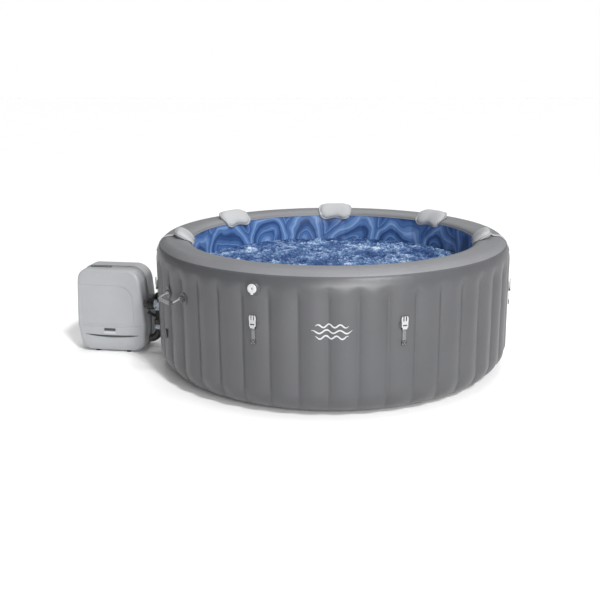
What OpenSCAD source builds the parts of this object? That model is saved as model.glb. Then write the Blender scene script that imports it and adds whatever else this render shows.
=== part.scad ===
// Round inflatable hot tub with an external pump and heater unit.
// Millimetres, +Z up. The origin is the centre of the tub's footprint on the floor.
// An angle "phi" is measured round the tub's axis, from the front (-Y) towards +X.

/* [Tub] */
// Largest outside radius of the wall
tub_r = 1080; // [1070:1:1090]
// Height of the rim above the floor
tub_h = 800; // [795:1:805]
// Radius of the water side of the liner
liner_r = 872; // [865:1:876]
// Thickness of the laminated sheet
skin_t = 2; // [1.5:0.5:3]
// Number of tensioning beams, one behind each wall groove
beam_count = 43; // [40:1:46]
// Angle of the groove next to the front
groove_phase = -1.3; // [-2:0.1:2]

/* [Water jets] */
// Height of the jet ring above the floor
jet_z = 245; // [235:1:250]
// Radius of a jet's swivelling ball
jet_ball_r = 21; // [20:0.5:22]
// Number of outlet holes in the air channel
air_hole_count = 36; // [24:1:48]

/* [Fittings] */
// Angle of the inflation valve
valve_phi = -22.2; // [-23:0.1:-21]
// Height of the inflation valve
valve_z = 696; // [690:1:700]
// Height of a clip's hinge bar
clip_z = 490; // [480:1:500]
// Height of the carrying handles' pins
handle_z = 562; // [550:1:570]
// Half the angle between a handle's two anchors
handle_half = 5.15; // [5:0.05:5.4]
// Thickness of a headrest pad
pad_t = 44; // [36:1:50]

/* [Pump unit] */
// Angle that the pump unit and its couplings are turned through, round the tub's axis
pump_turn = -8; // [-10:0.5:-6]
// Centre of the pump unit along X, before the turn
pump_x = -1420; // [-1422:1:-1418]
// Front face of the pump unit along Y, before the turn
pump_y = -149; // [-151:1:-147]
// Wall thickness of the casing
case_t = 3; // [2.5:0.5:4]
// Height of the two upper couplings
port_z = 325; // [320:1:330]
// Height of the lower tub port
low_port_z = 170; // [168:1:175]

/* [Hidden] */
$fn = 64;
pitch = 360 / beam_count;
clear = 0.3;
// Depth that the grooves pull the wall in, with room to spare
groove_clear = 22;
run_fit = 0.08;
arc_steps = 8;

// The ring skins are welded from equal panels, a hair's breadth apart
panel_count = 24;
panel_gap = 0.02;
port_hole_r = 25.5;
valve_hole_r = 19;
drain_hole_r = 18;
jet_hole_r = 31;
manifold_r = liner_r + 58;

// Wall section: three elliptical bends joined by straight stretches
rim_flat_in = 958;
rim_flat_out = 1005;
rim_out = [tub_r - rim_flat_out, 140];
rim_in = [rim_flat_in - liner_r, 32];
foot_r = 880;
foot = [tub_r - foot_r, 155];
seam_angle = 47.4;

clip_phis = [-22.3, 19.7, 79, -81, 139.7, -142.3];
headrest_phis = [-131.5, -83.5, 83.5, 131.5, 179];
handle_phis = [-54.15, 125.85];
drain_phi = groove_phase + 18.5 * pitch;
drain_z = 170;

// A jet's ball sits this far in front of the liner, and its pins reach this far up and down
jet_ball_y = 2;
jet_pin_r = 2.5;
jet_pin_reach = 23;

handle_pin_x = 85;
handle_pin_y = 8.5;
handle_reach = 60;
handle_droop = 20;

// Centre lines of the pump couplings before the turn: the front one and the rear one
port_ys = [-100, 55];
port_wall_x = -1084;
port_liner_x = -858;
case_side_x = pump_x + 233;
tube_r = 24;
tube_bore = 19;
seal_x = -1164;
upper_nut_h = 46;
riser_x = -1114;
riser_bore = 16;
low_tee_foot = low_port_z - 6;
elbow_bend = riser_x - case_side_x - 6;
elbow_r = 25;
branch_tilt = 65;
branch_z = low_port_z + 67;

filter_x = -775;
filter_y = port_ys[0];
filter_r = 70;
filter_z = 200;
filter_h = 240;

// Depth of the sunk band, and the places of the casing's front face, seams and back face
band_depth = 45;
case_seams = [pump_y, pump_y + 85, pump_y + 85 + band_depth, pump_y + 260];
case_top_z = 552;
case_foot_z = 5;
band_inset = 14;
// Corners of the casing's front outline and the radius of each
case_corners = [
    [-213, case_top_z, 70], [200, case_top_z, 100], [233, 190, 260],
    [214, case_foot_z, 85], [-205, case_foot_z, 65], [-233, 180, 260]
];

screw_xs = [-170, 170];
screw_zs = [90, 280, 450];
gland_x = pump_x + 90;
gland_z = 60;

volute_x = pump_x + 85;
volute_z = 115;
volute_y = pump_y + 35;
blower_x = pump_x - 105;
blower_y = pump_y + 184;
blower_z = 70;

// ---------- outlines ----------

// Points of the outer bend under the rim, a distance d outside the wall, between two angles
function rim_out_arc(d, from, to) = [
    for (i = [0 : arc_steps]) let (t = from + (to - from) * i / arc_steps)
        [rim_flat_out + (rim_out.x + d) * cos(t), tub_h - rim_out.y + (rim_out.y + d) * sin(t)]
];

// Points of the bend down to the liner, a distance d outside the wall, from the flat of the rim
function rim_in_arc(d, to = 90) = [
    for (i = [0 : arc_steps]) let (t = to * i / arc_steps)
        [rim_flat_in - (rim_in.x + d) * sin(t), tub_h - rim_in.y + (rim_in.y + d) * cos(t)]
];

// Points of the bend down to the floor, a distance d inside the wall
function foot_arc(d) = [
    for (i = [0 : arc_steps]) let (t = 90 * i / arc_steps)
        [foot_r + (foot.x - d) * sin(t), foot.y - (foot.y - d) * cos(t)]
];

function reversed(list) = [for (i = [len(list) - 1 : -1 : 0]) list[i]];

function unit(v) = v / norm(v);

// One corner of a closed outline, moved inwards and rounded
function round_corner(before, corner, after, inset) =
    let (p = [corner.x, corner.y])
    let (u = unit([before.x, before.y] - p))
    let (v = unit([after.x, after.y] - p))
    let (half = acos(u * v) / 2)
    let (inward = unit(u + v))
    let (r = max(corner[2] - inset, 1))
    let (centre = p + inward * (inset + r) / sin(half))
    let (start = atan2(-inward.y, -inward.x) + 90 - half)
    [for (i = [0 : arc_steps]) let (a = start - (180 - 2 * half) * i / arc_steps)
        centre + r * [cos(a), sin(a)]];

// Outline of the pump casing, a distance inset inside its outer face
function case_outline(inset) = [
    for (i = [0 : len(case_corners) - 1])
        each round_corner(
            case_corners[(i + len(case_corners) - 1) % len(case_corners)],
            case_corners[i], case_corners[(i + 1) % len(case_corners)], inset)
];

// The panel centre that is nearest to an angle
function panel_phi(phi) = groove_phase + (round((phi - groove_phase) / pitch - 0.5) + 0.5) * pitch;

// ---------- helpers ----------

// Puts children at an angle and a radius, with -Y pointing outwards
module on_wall(phi, r, z) {
    rotate([0, 0, phi]) translate([0, -r, z]) children();
}

// Turns the pump unit and its couplings to their place beside the tub
module beside_tub() {
    rotate([0, 0, pump_turn]) children();
}

// A cylinder along +X, +Y or -Y from the origin
module rod_x(r, h) {
    rotate([0, 90, 0]) cylinder(r = r, h = h);
}

module rod_y(r, h) {
    rotate([-90, 0, 0]) cylinder(r = r, h = h);
}

module rod_out(r, h) {
    rotate([90, 0, 0]) cylinder(r = r, h = h);
}

module tube_x(r, bore, h) {
    difference() {
        rod_x(r, h);
        translate([-1, 0, 0]) rod_x(bore, h + 2);
    }
}

// A band of the pump casing from one seam to the next
module case_prism(inset, y0, y1) {
    translate([pump_x, y1, 0]) rotate([90, 0, 0]) linear_extrude(y1 - y0) polygon(case_outline(inset));
}

// Holes round the three straight ways that water takes through the double wall
module port_holes() {
    from = -1100;
    reach = 320;
    beside_tub() {
        for (y = port_ys) translate([from, y, port_z]) rod_x(port_hole_r, reach);
        translate([from, port_ys[0], low_port_z]) rod_x(port_hole_r, reach);
    }
}

// A ring skin of equal panels, turned from an outline of radius and height
module panel_ring(outline) {
    for (i = [0 : panel_count - 1]) rotate([0, 0, i * 360 / panel_count])
        rotate_extrude(angle = 360 / panel_count - panel_gap, $fn = 128) polygon(outline);
}

// ---------- tub ----------

module outer_wall() {
    outside = concat(foot_arc(0), rim_out_arc(0, 0, seam_angle));
    inside = concat(foot_arc(skin_t), rim_out_arc(-skin_t, 0, seam_angle));
    color("dimgray") difference() {
        panel_ring(concat(outside, reversed(inside)));
        port_holes();
        on_wall(valve_phi, tub_r + 10, valve_z) rod_y(valve_hole_r, 30);
        on_wall(drain_phi, tub_r + 10, drain_z) rod_y(drain_hole_r, 30);
    }
}

module top_rim() {
    outside = concat(rim_out_arc(0, seam_angle, 90), rim_in_arc(0));
    inside = concat(rim_out_arc(-skin_t, seam_angle, 90), rim_in_arc(-skin_t));
    color("gray") panel_ring(concat(outside, reversed(inside)));
}

module inner_wall() {
    low = skin_t;
    high = tub_h - rim_in.y;
    outer = liner_r + skin_t;
    color("royalblue") difference() {
        panel_ring([[liner_r, low], [outer, low], [outer, high], [liner_r, high]]);
        port_holes();
        on_wall(drain_phi, liner_r + 20, drain_z) rod_y(drain_hole_r, 40);
        for (phi = headrest_phis) on_wall(panel_phi(phi), liner_r + 20, jet_z) rod_y(jet_hole_r, 40);
    }
}

module base_sheet() {
    color("dimgray") cylinder(r = foot_r, h = skin_t, $fn = 128);
}

module floor_liner() {
    color("royalblue") translate([0, 0, skin_t]) cylinder(r = liner_r - clear, h = skin_t, $fn = 128);
}

// One flat tension sheet stands behind each groove, with a round window for the jet manifold
module wall_i_beams() {
    low = foot.y + 15;
    high = tub_h - rim_out.y - 20;
    start = liner_r + 6;
    beam_t = 1.5;
    // No beam crosses the pump ports
    port_phi = pump_turn - 90;
    port_room = 1.6 * pitch;
    color("gainsboro") for (i = [0 : beam_count - 1]) {
        phi = groove_phase + (i - floor(beam_count / 2)) * pitch;
        if (abs(phi - port_phi) > port_room) {
            rotate([0, 0, phi]) translate([beam_t / 2, 0, 0]) rotate([90, 0, -90])
                linear_extrude(beam_t) difference() {
                    translate([start, low]) square([tub_r - groove_clear - start, high - low]);
                    translate([manifold_r, jet_z]) circle(r = 26);
                }
        }
    }
}

// ---------- air and water jets ----------

module air_jet_channel() {
    outer = liner_r - 1;
    inner = outer - 26;
    low = 2 * skin_t + clear;
    color("royalblue") difference() {
        rotate_extrude($fn = 96) translate([inner, low]) difference() {
            square([outer - inner, 30]);
            translate([2.5, 2.5]) square([outer - inner - 5, 25]);
        }
        for (i = [0 : air_hole_count - 1])
            on_wall(i * 360 / air_hole_count, inner + 10, low + 15) rod_y(2, 20);
    }
}

module jet_manifold() {
    color("darkgray") rotate_extrude($fn = 96) translate([manifold_r, jet_z]) difference() {
        circle(r = 20);
        circle(r = 17);
    }
}

// A barrel through the liner, with a lip that keeps the ball in and sockets for its two pins
module jet_body(phi) {
    lip = 12;
    front = 16;
    on_wall(phi, liner_r, jet_z) difference() {
        union() {
            translate([0, -36, 0]) rod_y(29, 36 + front);
            translate([0, 5, 0]) rod_y(42, 5);
        }
        translate([0, -40, 0]) rod_y(jet_ball_r + clear, 40 + lip);
        translate([0, lip - 1, 0]) rod_y(jet_ball_r - 2, front);
        translate([0, jet_ball_y, 0])
            cylinder(r = jet_pin_r + run_fit, h = 2 * jet_pin_reach + 1, center = true);
    }
}

module jet_bodies() {
    color("white") for (phi = headrest_phis) jet_body(panel_phi(phi));
}

// A ball with a spout, turned round its bore, and the two upright pins that it swivels on
module jet_nozzle(index) {
    spout_r = 9;
    spout_tip = 30;
    bore = 6;
    pin_h = 5;
    from = asin(bore / jet_ball_r);
    to = 180 - asin(spout_r / jet_ball_r);
    ball = [
        for (i = [0 : arc_steps]) let (t = from + (to - from) * i / arc_steps)
            [jet_ball_r * sin(t), -jet_ball_r * cos(t)]
    ];
    color("silver") on_wall(panel_phi(headrest_phis[index]), liner_r - jet_ball_y, jet_z) {
        rotate([-90, 0, 0]) rotate_extrude() polygon(concat(ball, [[spout_r, spout_tip], [bore, spout_tip]]));
        for (side = [-1, 1]) translate([0, 0, side * (jet_pin_reach - pin_h / 2)])
            cylinder(r = jet_pin_r, h = pin_h, center = true);
    }
}

// ---------- valves ----------

module inflation_valve_body() {
    color("white") on_wall(valve_phi, tub_r, valve_z) difference() {
        union() {
            translate([0, 25, 0]) rod_out(18, 25 + clear);
            translate([0, -clear, 0]) rod_out(33, 4);
        }
        translate([0, 26, 0]) rod_out(14, 26);
        translate([0, 2, 0]) rod_out(15, 8);
    }
}

// The sprung plug that keeps the air in
module inflation_valve_stem() {
    color("lightgray") on_wall(valve_phi, tub_r, valve_z) {
        translate([0, 22, 0]) rod_out(14 - run_fit, 6);
        translate([0, 16, 0]) rod_out(3, 14);
    }
}

module inflation_valve_cap() {
    flange = 4 + 2 * clear;
    cap_t = 9;
    tether_z = -31;
    color("white") on_wall(valve_phi, tub_r + flange, valve_z) difference() {
        union() {
            rod_out(25, cap_t);
            translate([-6, -cap_t, tether_z]) cube([12, cap_t, 12]);
            translate([-6, -cap_t / 2, tether_z]) rod_x(cap_t / 2, 12);
        }
        translate([0, -6, 0]) rod_out(5, 4);
    }
}

module drain_valve_body() {
    wall_depth = tub_r - liner_r;
    color("lightgray") on_wall(drain_phi, tub_r, drain_z) difference() {
        union() {
            translate([0, wall_depth + 12, 0]) rod_out(16, wall_depth + 28);
            translate([0, -clear, 0]) rod_out(28, 3);
            translate([0, wall_depth + 6, 0]) rod_out(26, 3);
        }
        translate([0, wall_depth + 13, 0]) rod_out(12, wall_depth + 30);
    }
}

module drain_valve_cap() {
    color("dimgray") on_wall(drain_phi, tub_r + 4, drain_z) difference() {
        rod_out(22, 18);
        translate([0, 1, 0]) rod_out(16 + run_fit, 14);
    }
}

// ---------- pump connections ----------

module wall_port(x_out, x_in, y, z) {
    translate([0, y, z]) {
        translate([x_out, 0, 0]) tube_x(tube_r, tube_bore, x_in - x_out + 4);
        translate([x_out, 0, 0]) tube_x(38, tube_bore, 3.5);
        translate([x_in, 0, 0]) tube_x(44, tube_bore, 4);
    }
}

module wall_ports() {
    color("slategray") {
        for (y = port_ys) wall_port(port_wall_x, port_liner_x, y, port_z);
        wall_port(port_wall_x, port_liner_x, port_ys[0], low_port_z);
    }
}

// Clear straight fitting at the rear coupling, clear tees on the front riser
module clear_fittings() {
    run = port_wall_x - seal_x - 1;
    drop = 36;
    branch = [low_port_z + 8, 14, 10];
    color("lightsteelblue") {
        translate([seal_x + 1, port_ys[1], port_z]) tube_x(tube_r, tube_bore, run);
        difference() {
            union() {
                translate([seal_x + 1, port_ys[0], port_z]) rod_x(tube_r, run);
                translate([riser_x, port_ys[0], port_z - drop]) cylinder(r = 21, h = drop);
            }
            translate([seal_x, port_ys[0], port_z]) rod_x(tube_bore, run + 2);
            translate([riser_x, port_ys[0], port_z - drop - 1]) cylinder(r = riser_bore, h = drop + 1);
        }
        difference() {
            union() {
                translate([riser_x, port_ys[0], low_tee_foot]) cylinder(r = tube_r, h = 46);
                translate([riser_x, port_ys[0], branch[0]]) rod_x(branch[1], port_wall_x - riser_x);
            }
            translate([riser_x, port_ys[0], low_tee_foot - 1]) cylinder(r = riser_bore, h = 60);
            translate([riser_x, port_ys[0], branch[0]]) rod_x(branch[2], port_wall_x - riser_x + 1);
        }
    }
}

// Ribbed union nut, its axis along +Z from the origin
module union_nut(r, bore, h) {
    rib_count = 16;
    difference() {
        cylinder(r = r, h = h);
        translate([0, 0, -1]) cylinder(r = bore, h = h + 2);
        for (i = [0 : rib_count - 1])
            rotate([0, 0, i * 360 / rib_count]) translate([r + 1, 0, -1])
                cylinder(r = 3, h = h + 2, $fn = 16);
    }
}

module coupling_upper(y) {
    color("black") translate([case_side_x + 4, y, port_z]) rotate([0, 90, 0])
        union_nut(37, tube_r + run_fit, upper_nut_h);
}

module coupling_lower() {
    color("black") translate([riser_x, port_ys[0], low_port_z + 23])
        union_nut(29, tube_r + run_fit, 35);
}

module coupling_seals() {
    color("dimgray") {
        for (y = port_ys) translate([seal_x - 1, y, port_z]) tube_x(tube_r - 1, tube_bore + 1, 2);
        translate([riser_x, port_ys[0], low_port_z + 40]) difference() {
            cylinder(r = tube_r - 1, h = 2);
            translate([0, 0, -1]) cylinder(r = riser_bore, h = 4);
        }
    }
}

// Upright hose between the tees, and the slanting branch from the pump
module riser_hose() {
    low = low_port_z + 42;
    high = port_z - 36;
    reach = (riser_x - case_side_x) / sin(branch_tilt);
    color("black") difference() {
        union() {
            translate([riser_x, port_ys[0], low]) cylinder(r = 20.5, h = high - low);
            translate([riser_x, port_ys[0], branch_z]) rotate([0, -branch_tilt, 0])
                cylinder(r = 11, h = reach);
        }
        translate([riser_x, port_ys[0], low - 1]) cylinder(r = riser_bore, h = high - low + 2);
    }
}

// Quarter bend from the lower tee into the side of the pump
module elbow_hose() {
    color("black") translate([riser_x - elbow_bend, port_ys[0], low_tee_foot - clear]) rotate([90, 90, 0])
        rotate_extrude(angle = 90) translate([elbow_bend, 0]) difference() {
            circle(r = elbow_r);
            circle(r = elbow_r - 7);
        }
}

// ---------- filter inside the tub ----------

module filter_housing() {
    color("white") translate([filter_x, filter_y, filter_z]) difference() {
        union() {
            cylinder(r = filter_r, h = filter_h);
            translate([port_liner_x + 4.5 - filter_x, 0, port_z - filter_z]) rod_x(30, 30);
        }
        translate([0, 0, 4]) cylinder(r = filter_r - 4, h = filter_h);
        translate([port_liner_x + 4 - filter_x, 0, port_z - filter_z]) rod_x(tube_bore, 40);
    }
}

module filter_cartridge() {
    color("aliceblue") translate([filter_x, filter_y, filter_z + 6]) difference() {
        cylinder(r = 53, h = filter_h - 20);
        translate([0, 0, -1]) cylinder(r = 22, h = filter_h);
    }
}

module filter_lid() {
    color("white") translate([filter_x, filter_y, filter_z + filter_h + clear]) {
        cylinder(r = filter_r + 4, h = 8);
        translate([0, 0, -9]) cylinder(r = filter_r - 4 - run_fit, h = 9);
        translate([-filter_r + 10, -5, 8]) cube([2 * filter_r - 20, 10, 12]);
    }
}

// ---------- pieces on the wall ----------

// Round patches under the clips, and under the handles' lugs with their pins
module weld_patches() {
    color("dimgray") {
        for (phi = clip_phis) on_wall(phi, tub_r + clear, clip_z + 20) rod_out(30, 1.5);
        for (phi = handle_phis) {
            for (side = [-1, 1]) {
                on_wall(phi + side * handle_half, tub_r + clear, handle_z) {
                    rod_out(32, 1.5);
                    translate([-6, -16, -12]) cube([12, 16, 24]);
                }
                on_wall(phi, tub_r + handle_pin_y, handle_z)
                    translate([side * (handle_pin_x + 3), 0, 0]) rotate([0, 90, 0])
                        cylinder(r = 4, h = 20, center = true);
            }
        }
    }
}

// Webbing with a stitched end, and the bar that the buckle turns on
module clip_straps() {
    color("darkgray") for (phi = clip_phis) on_wall(phi, tub_r + 2.1, clip_z) {
        translate([-10, -1.5, -65]) cube([20, 1.5, 90]);
        translate([-13.5, -4, -90]) cube([27, 4, 26]);
        translate([-17, -6.4, 0]) rod_x(2.5, 34);
        for (side = [-1, 1]) translate([side * 15.5 - 1.5, -9, -4]) cube([3, 9, 8]);
        translate([-17, -1.5, -4]) cube([34, 1.5, 8]);
    }
}

// Side-release buckle with three prongs
module cover_clip(index) {
    color("white") on_wall(clip_phis[index], tub_r + 8.5, clip_z) difference() {
        union() {
            translate([-13, 0, 0]) rod_x(4.4, 26);
            translate([-13, -3, 2]) cube([26, 6, 10]);
            translate([-18, -3, 6]) cube([36, 6, 30]);
            for (x = [-18, -4, 10]) translate([x, -3, 36]) cube([8, 6, 31]);
        }
        translate([-14, 0, 0]) rod_x(2.5 + run_fit, 28);
        translate([-11, -4, 14]) cube([22, 8, 7]);
    }
}

// U-shaped grip that drops a little from its two pins, with its crossbar between the arms
module handle_grip(phi) {
    bar = 14;
    arm_t = 9;
    eye_r = 8.3;
    arm_x = handle_pin_x - 6;
    color("darkgray") on_wall(phi, tub_r + handle_pin_y, handle_z) rotate([handle_droop, 0, 0]) difference() {
        union() {
            for (side = [-1, 1]) {
                translate([side * arm_x - arm_t / 2, 0, 0]) rod_x(eye_r, arm_t);
                translate([side * arm_x - arm_t / 2, -handle_reach, -arm_t / 2])
                    cube([arm_t, handle_reach, arm_t]);
            }
            translate([-arm_x - arm_t / 2, -handle_reach - bar / 2, -bar / 2])
                cube([2 * arm_x + arm_t, bar, bar]);
        }
        translate([-handle_pin_x - 6, 0, 0]) rod_x(4 + run_fit, 2 * handle_pin_x + 12);
    }
}

// Pad that lies over the inner half of the rim, and the strap that holds it to the outside
module headrest(index) {
    pad_angle = 15.2;
    strap_angle = 5;
    gap = 1;
    strap_t = 3;
    pad_end = 985;
    side_t = pad_t - 14;
    tail_z = tub_h - 55;
    phi = headrest_phis[index];
    pad_bend = [
        for (i = [0 : arc_steps]) let (t = 90 * i / arc_steps)
            [rim_flat_in - (rim_in.x + side_t) * sin(t), tub_h - rim_in.y + (rim_in.y + pad_t) * cos(t)]
    ];
    under = concat([[pad_end, tub_h + gap]], rim_in_arc(gap), [[liner_r - gap, tail_z + 3]]);
    over = concat([[pad_end, tub_h + pad_t - 12], [pad_end - 12, tub_h + pad_t]], pad_bend,
        [[liner_r - side_t + 10, tail_z]]);
    strap_end = pad_end + 0.1;
    strap_under = concat(rim_out_arc(gap, 20, 90), [[strap_end, tub_h + gap]]);
    strap_over = concat(rim_out_arc(gap + strap_t, 20, 90), [[strap_end, tub_h + gap + strap_t]]);
    color("gainsboro") {
        rotate([0, 0, phi - 90 - pad_angle / 2]) rotate_extrude(angle = pad_angle)
            polygon(concat(under, reversed(over)));
        rotate([0, 0, phi - 90 - strap_angle / 2]) rotate_extrude(angle = strap_angle)
            polygon(concat(strap_under, reversed(strap_over)));
    }
}

// ---------- pump unit ----------

module pump_front_shell() {
    color("silver") difference() {
        case_prism(0, case_seams[0], case_seams[1]);
        case_prism(case_t, case_seams[0] + case_t, case_seams[1] + 1);
        translate([pump_x - 35, case_seams[0] - 1, 140]) cube([66, case_t + 2, 14]);
        translate([case_side_x - 60, port_ys[0], 0]) {
            translate([0, 0, port_z]) rod_x(tube_r + 1, 80);
            translate([0, 0, low_tee_foot - elbow_bend]) rod_x(elbow_r + 1, 80);
            translate([0, 0, branch_z + (riser_x - case_side_x) / tan(branch_tilt)]) rod_x(18, 80);
        }
    }
}

// Sunk band between the two outer shells
module pump_mid_frame() {
    color("gray") difference() {
        case_prism(band_inset, case_seams[1] - 6, case_seams[2] + 6);
        case_prism(band_inset + case_t, case_seams[1] - 7, case_seams[2] + 7);
    }
}

module pump_rear_shell() {
    color("silver") difference() {
        case_prism(0, case_seams[2], case_seams[3]);
        case_prism(case_t, case_seams[2] - 1, case_seams[3] - case_t);
        translate([case_side_x - 60, port_ys[1], port_z]) rod_x(tube_r + 1, 80);
        translate([pump_x - 60, case_seams[3] - case_t - 1, 300]) cube([120, case_t + 2, 90]);
        translate([gland_x, case_seams[3] - case_t - 1, gland_z]) rod_y(10.5, case_t + 2);
        for (x = screw_xs) for (z = screw_zs)
            translate([pump_x + x, case_seams[3] - case_t - 1, z]) rod_y(2.4, case_t + 2);
    }
}

module casing_screws() {
    color("dimgray") for (x = screw_xs) for (z = screw_zs)
        translate([pump_x + x, case_seams[3], z]) {
            translate([0, -14, 0]) rod_y(2, 14);
            difference() {
                rod_y(4.5, 2.5);
                translate([-0.6, 1.3, -3]) cube([1.2, 2, 6]);
                translate([-3, 1.3, -0.6]) cube([6, 2, 1.2]);
            }
        }
}

// Drip tray that lies across the floor of the sunk band
module pump_base_tray() {
    low = case_foot_z + band_inset + case_t + clear;
    tray = [210, 190, 20];
    tray_t = 3;
    color("dimgray") translate([pump_x - 122, pump_y + 40, low]) difference() {
        cube(tray);
        translate([tray_t, tray_t, tray_t]) cube([tray.x - 2 * tray_t, tray.y - 2 * tray_t, tray.z]);
    }
}

module pump_feet() {
    color("black") for (x = [-115, 95]) for (y = [case_seams[0] + 45, case_seams[3] - 45])
        translate([pump_x + x, y, 0]) cylinder(r = 16, h = case_foot_z);
}

module control_panel() {
    low = case_top_z - band_inset + clear;
    color("black") translate([pump_x - 150, case_seams[1] + 1, low]) difference() {
        cube([135, band_depth - 2, 13]);
        for (i = [0 : 5]) translate([16 + i * 20, 24, 12]) cylinder(r = 6, h = 2);
    }
}

module control_board() {
    color("darkgreen") translate([pump_x - 150, case_seams[1] + 3, 500]) cube([130, band_depth - 6, 2]);
}

// Spiral casing of the jet pump with its motor behind, and the spigots of the two upper couplings
module jet_pump_housing() {
    color("dimgray") {
        difference() {
            union() {
                translate([volute_x, volute_y, volute_z]) rod_y(68, 50);
                translate([volute_x, volute_y + 50, volute_z]) rod_y(48, 130);
            }
            translate([volute_x, volute_y + 4, volute_z]) rod_y(62, 42);
            translate([volute_x, volute_y - 1, volute_z]) rod_y(18, 10);
            translate([volute_x, volute_y + 40, volute_z]) rod_y(5, 100);
        }
        for (y = port_ys) translate([case_side_x - 30, y, port_z]) {
            tube_x(tube_r, tube_bore, seal_x - 1 - case_side_x + 30);
            tube_x(30, tube_bore, 4);
        }
    }
}

module jet_impeller() {
    blade_count = 7;
    color("orange") translate([volute_x, volute_y + 8, volute_z]) {
        difference() {
            rod_y(16, 30);
            translate([0, -1, 0]) rod_y(6, 12);
        }
        translate([0, 24, 0]) rod_y(56, 4);
        translate([0, 28, 0]) rod_y(5 - run_fit, 90);
        for (i = [0 : blade_count - 1]) rotate([0, i * 360 / blade_count, 0])
            translate([13, 6, -1.5]) cube([41, 19, 3]);
    }
}

module heater() {
    color("lightgray") translate([pump_x - 150, pump_y + 70, 90]) {
        tube_x(32, 29, 120);
        for (x = [10, 106]) translate([x, 0, 30]) cylinder(r = 6, h = 14);
    }
}

module blower_housing() {
    color("dimgray") translate([blower_x, blower_y, blower_z]) difference() {
        union() {
            cylinder(r = 66, h = 60);
            cylinder(r = 38, h = 150);
        }
        translate([0, 0, 4]) cylinder(r = 61, h = 52);
        translate([0, 0, 40]) cylinder(r = 5, h = 90);
        translate([0, 0, -1]) cylinder(r = 20, h = 10);
    }
}

module blower_fan() {
    blade_count = 11;
    color("orange") translate([blower_x, blower_y, blower_z + 10]) {
        cylinder(r = 18, h = 40);
        cylinder(r = 55, h = 3);
        cylinder(r = 5 - run_fit, h = 110);
        for (i = [0 : blade_count - 1]) rotate([0, 0, i * 360 / blade_count])
            translate([15, -1, 2]) cube([38, 2, 34]);
    }
}

module vent_grille() {
    slat_count = 7;
    color("gray") translate([pump_x - 66, case_seams[3] + clear, 294]) difference() {
        cube([132, 3, 102]);
        for (i = [0 : slat_count - 1]) translate([10, -1, 10 + i * 12.5]) cube([112, 5, 7]);
    }
}

module cable_gland() {
    color("black") translate([gland_x, case_seams[3], gland_z]) difference() {
        union() {
            translate([0, -10, 0]) rod_y(10, 26);
            translate([0, clear, 0]) rod_y(15, 6);
        }
        translate([0, -11, 0]) rod_y(4.5, 30);
    }
}

// ---------- assembly ----------

outer_wall();
top_rim();
inner_wall();
base_sheet();
floor_liner();
wall_i_beams();
air_jet_channel();
jet_manifold();
jet_bodies();
for (i = [0 : len(headrest_phis) - 1]) {
    jet_nozzle(i);
    headrest(i);
}
for (i = [0 : len(clip_phis) - 1]) {
    cover_clip(i);
}
inflation_valve_body();
inflation_valve_stem();
inflation_valve_cap();
drain_valve_body();
drain_valve_cap();
beside_tub() wall_ports();
beside_tub() clear_fittings();
beside_tub() coupling_upper(port_ys[0]);  // coupling_upper_front
beside_tub() coupling_upper(port_ys[1]);  // coupling_upper_rear
beside_tub() coupling_lower();
beside_tub() coupling_seals();
beside_tub() riser_hose();
beside_tub() elbow_hose();
beside_tub() filter_housing();
beside_tub() filter_cartridge();
beside_tub() filter_lid();
weld_patches();
clip_straps();
handle_grip(handle_phis[0]);  // handle_grip_front
handle_grip(handle_phis[1]);  // handle_grip_rear
beside_tub() pump_front_shell();
beside_tub() pump_mid_frame();
beside_tub() pump_rear_shell();
beside_tub() pump_base_tray();
beside_tub() pump_feet();
beside_tub() control_panel();
beside_tub() control_board();
beside_tub() jet_pump_housing();
beside_tub() jet_impeller();
beside_tub() heater();
beside_tub() blower_housing();
beside_tub() blower_fan();
beside_tub() vent_grille();
beside_tub() cable_gland();
beside_tub() casing_screws();
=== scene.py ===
"""Looks of a round inflatable hot tub with its pump unit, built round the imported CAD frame.

Metres, +Z up. "phi" is an angle in degrees round the tub's axis, from the front (-Y) towards +X.
"""

import math

import bpy
import bmesh
import numpy as np
from mathutils import Matrix, Vector, noise


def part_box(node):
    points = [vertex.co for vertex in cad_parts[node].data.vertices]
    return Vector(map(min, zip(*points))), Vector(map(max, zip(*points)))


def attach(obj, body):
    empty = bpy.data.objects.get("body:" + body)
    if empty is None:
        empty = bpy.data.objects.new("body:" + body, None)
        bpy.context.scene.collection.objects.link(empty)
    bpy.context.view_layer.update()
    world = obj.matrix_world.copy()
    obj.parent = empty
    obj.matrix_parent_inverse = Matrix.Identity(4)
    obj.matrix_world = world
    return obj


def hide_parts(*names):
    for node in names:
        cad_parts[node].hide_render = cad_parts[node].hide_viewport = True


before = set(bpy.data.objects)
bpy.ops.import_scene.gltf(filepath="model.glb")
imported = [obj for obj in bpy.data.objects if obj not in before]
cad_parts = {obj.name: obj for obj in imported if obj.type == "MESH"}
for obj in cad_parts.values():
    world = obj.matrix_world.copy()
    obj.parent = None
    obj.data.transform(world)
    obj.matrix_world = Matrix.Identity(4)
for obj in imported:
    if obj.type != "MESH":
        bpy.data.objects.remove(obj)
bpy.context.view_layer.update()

TUB = "tub_and_pump"

# ---------------------------------------------------------------- sizes from the frame

TUB_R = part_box("outer_wall")[1][0]
TUB_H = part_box("top_rim")[1][2]
SEAM_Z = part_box("outer_wall")[1][2]
LINER_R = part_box("floor_liner")[1][0] + 0.0003
FOOT_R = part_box("base_sheet")[1][0]

RIM_FLAT_OUT = 1.005
RIM_FLAT_IN = 0.958
RIM_OUT = (TUB_R - RIM_FLAT_OUT, 0.140)
RIM_IN = (RIM_FLAT_IN - LINER_R, 0.032)
FOOT = (TUB_R - FOOT_R, 0.155)
LINER_TOP = TUB_H - RIM_IN[1]

PANELS = 43
PITCH = 360 / PANELS
GROOVE_PHASE = -1.3
GROOVE_DEPTH = 0.0190

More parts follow.
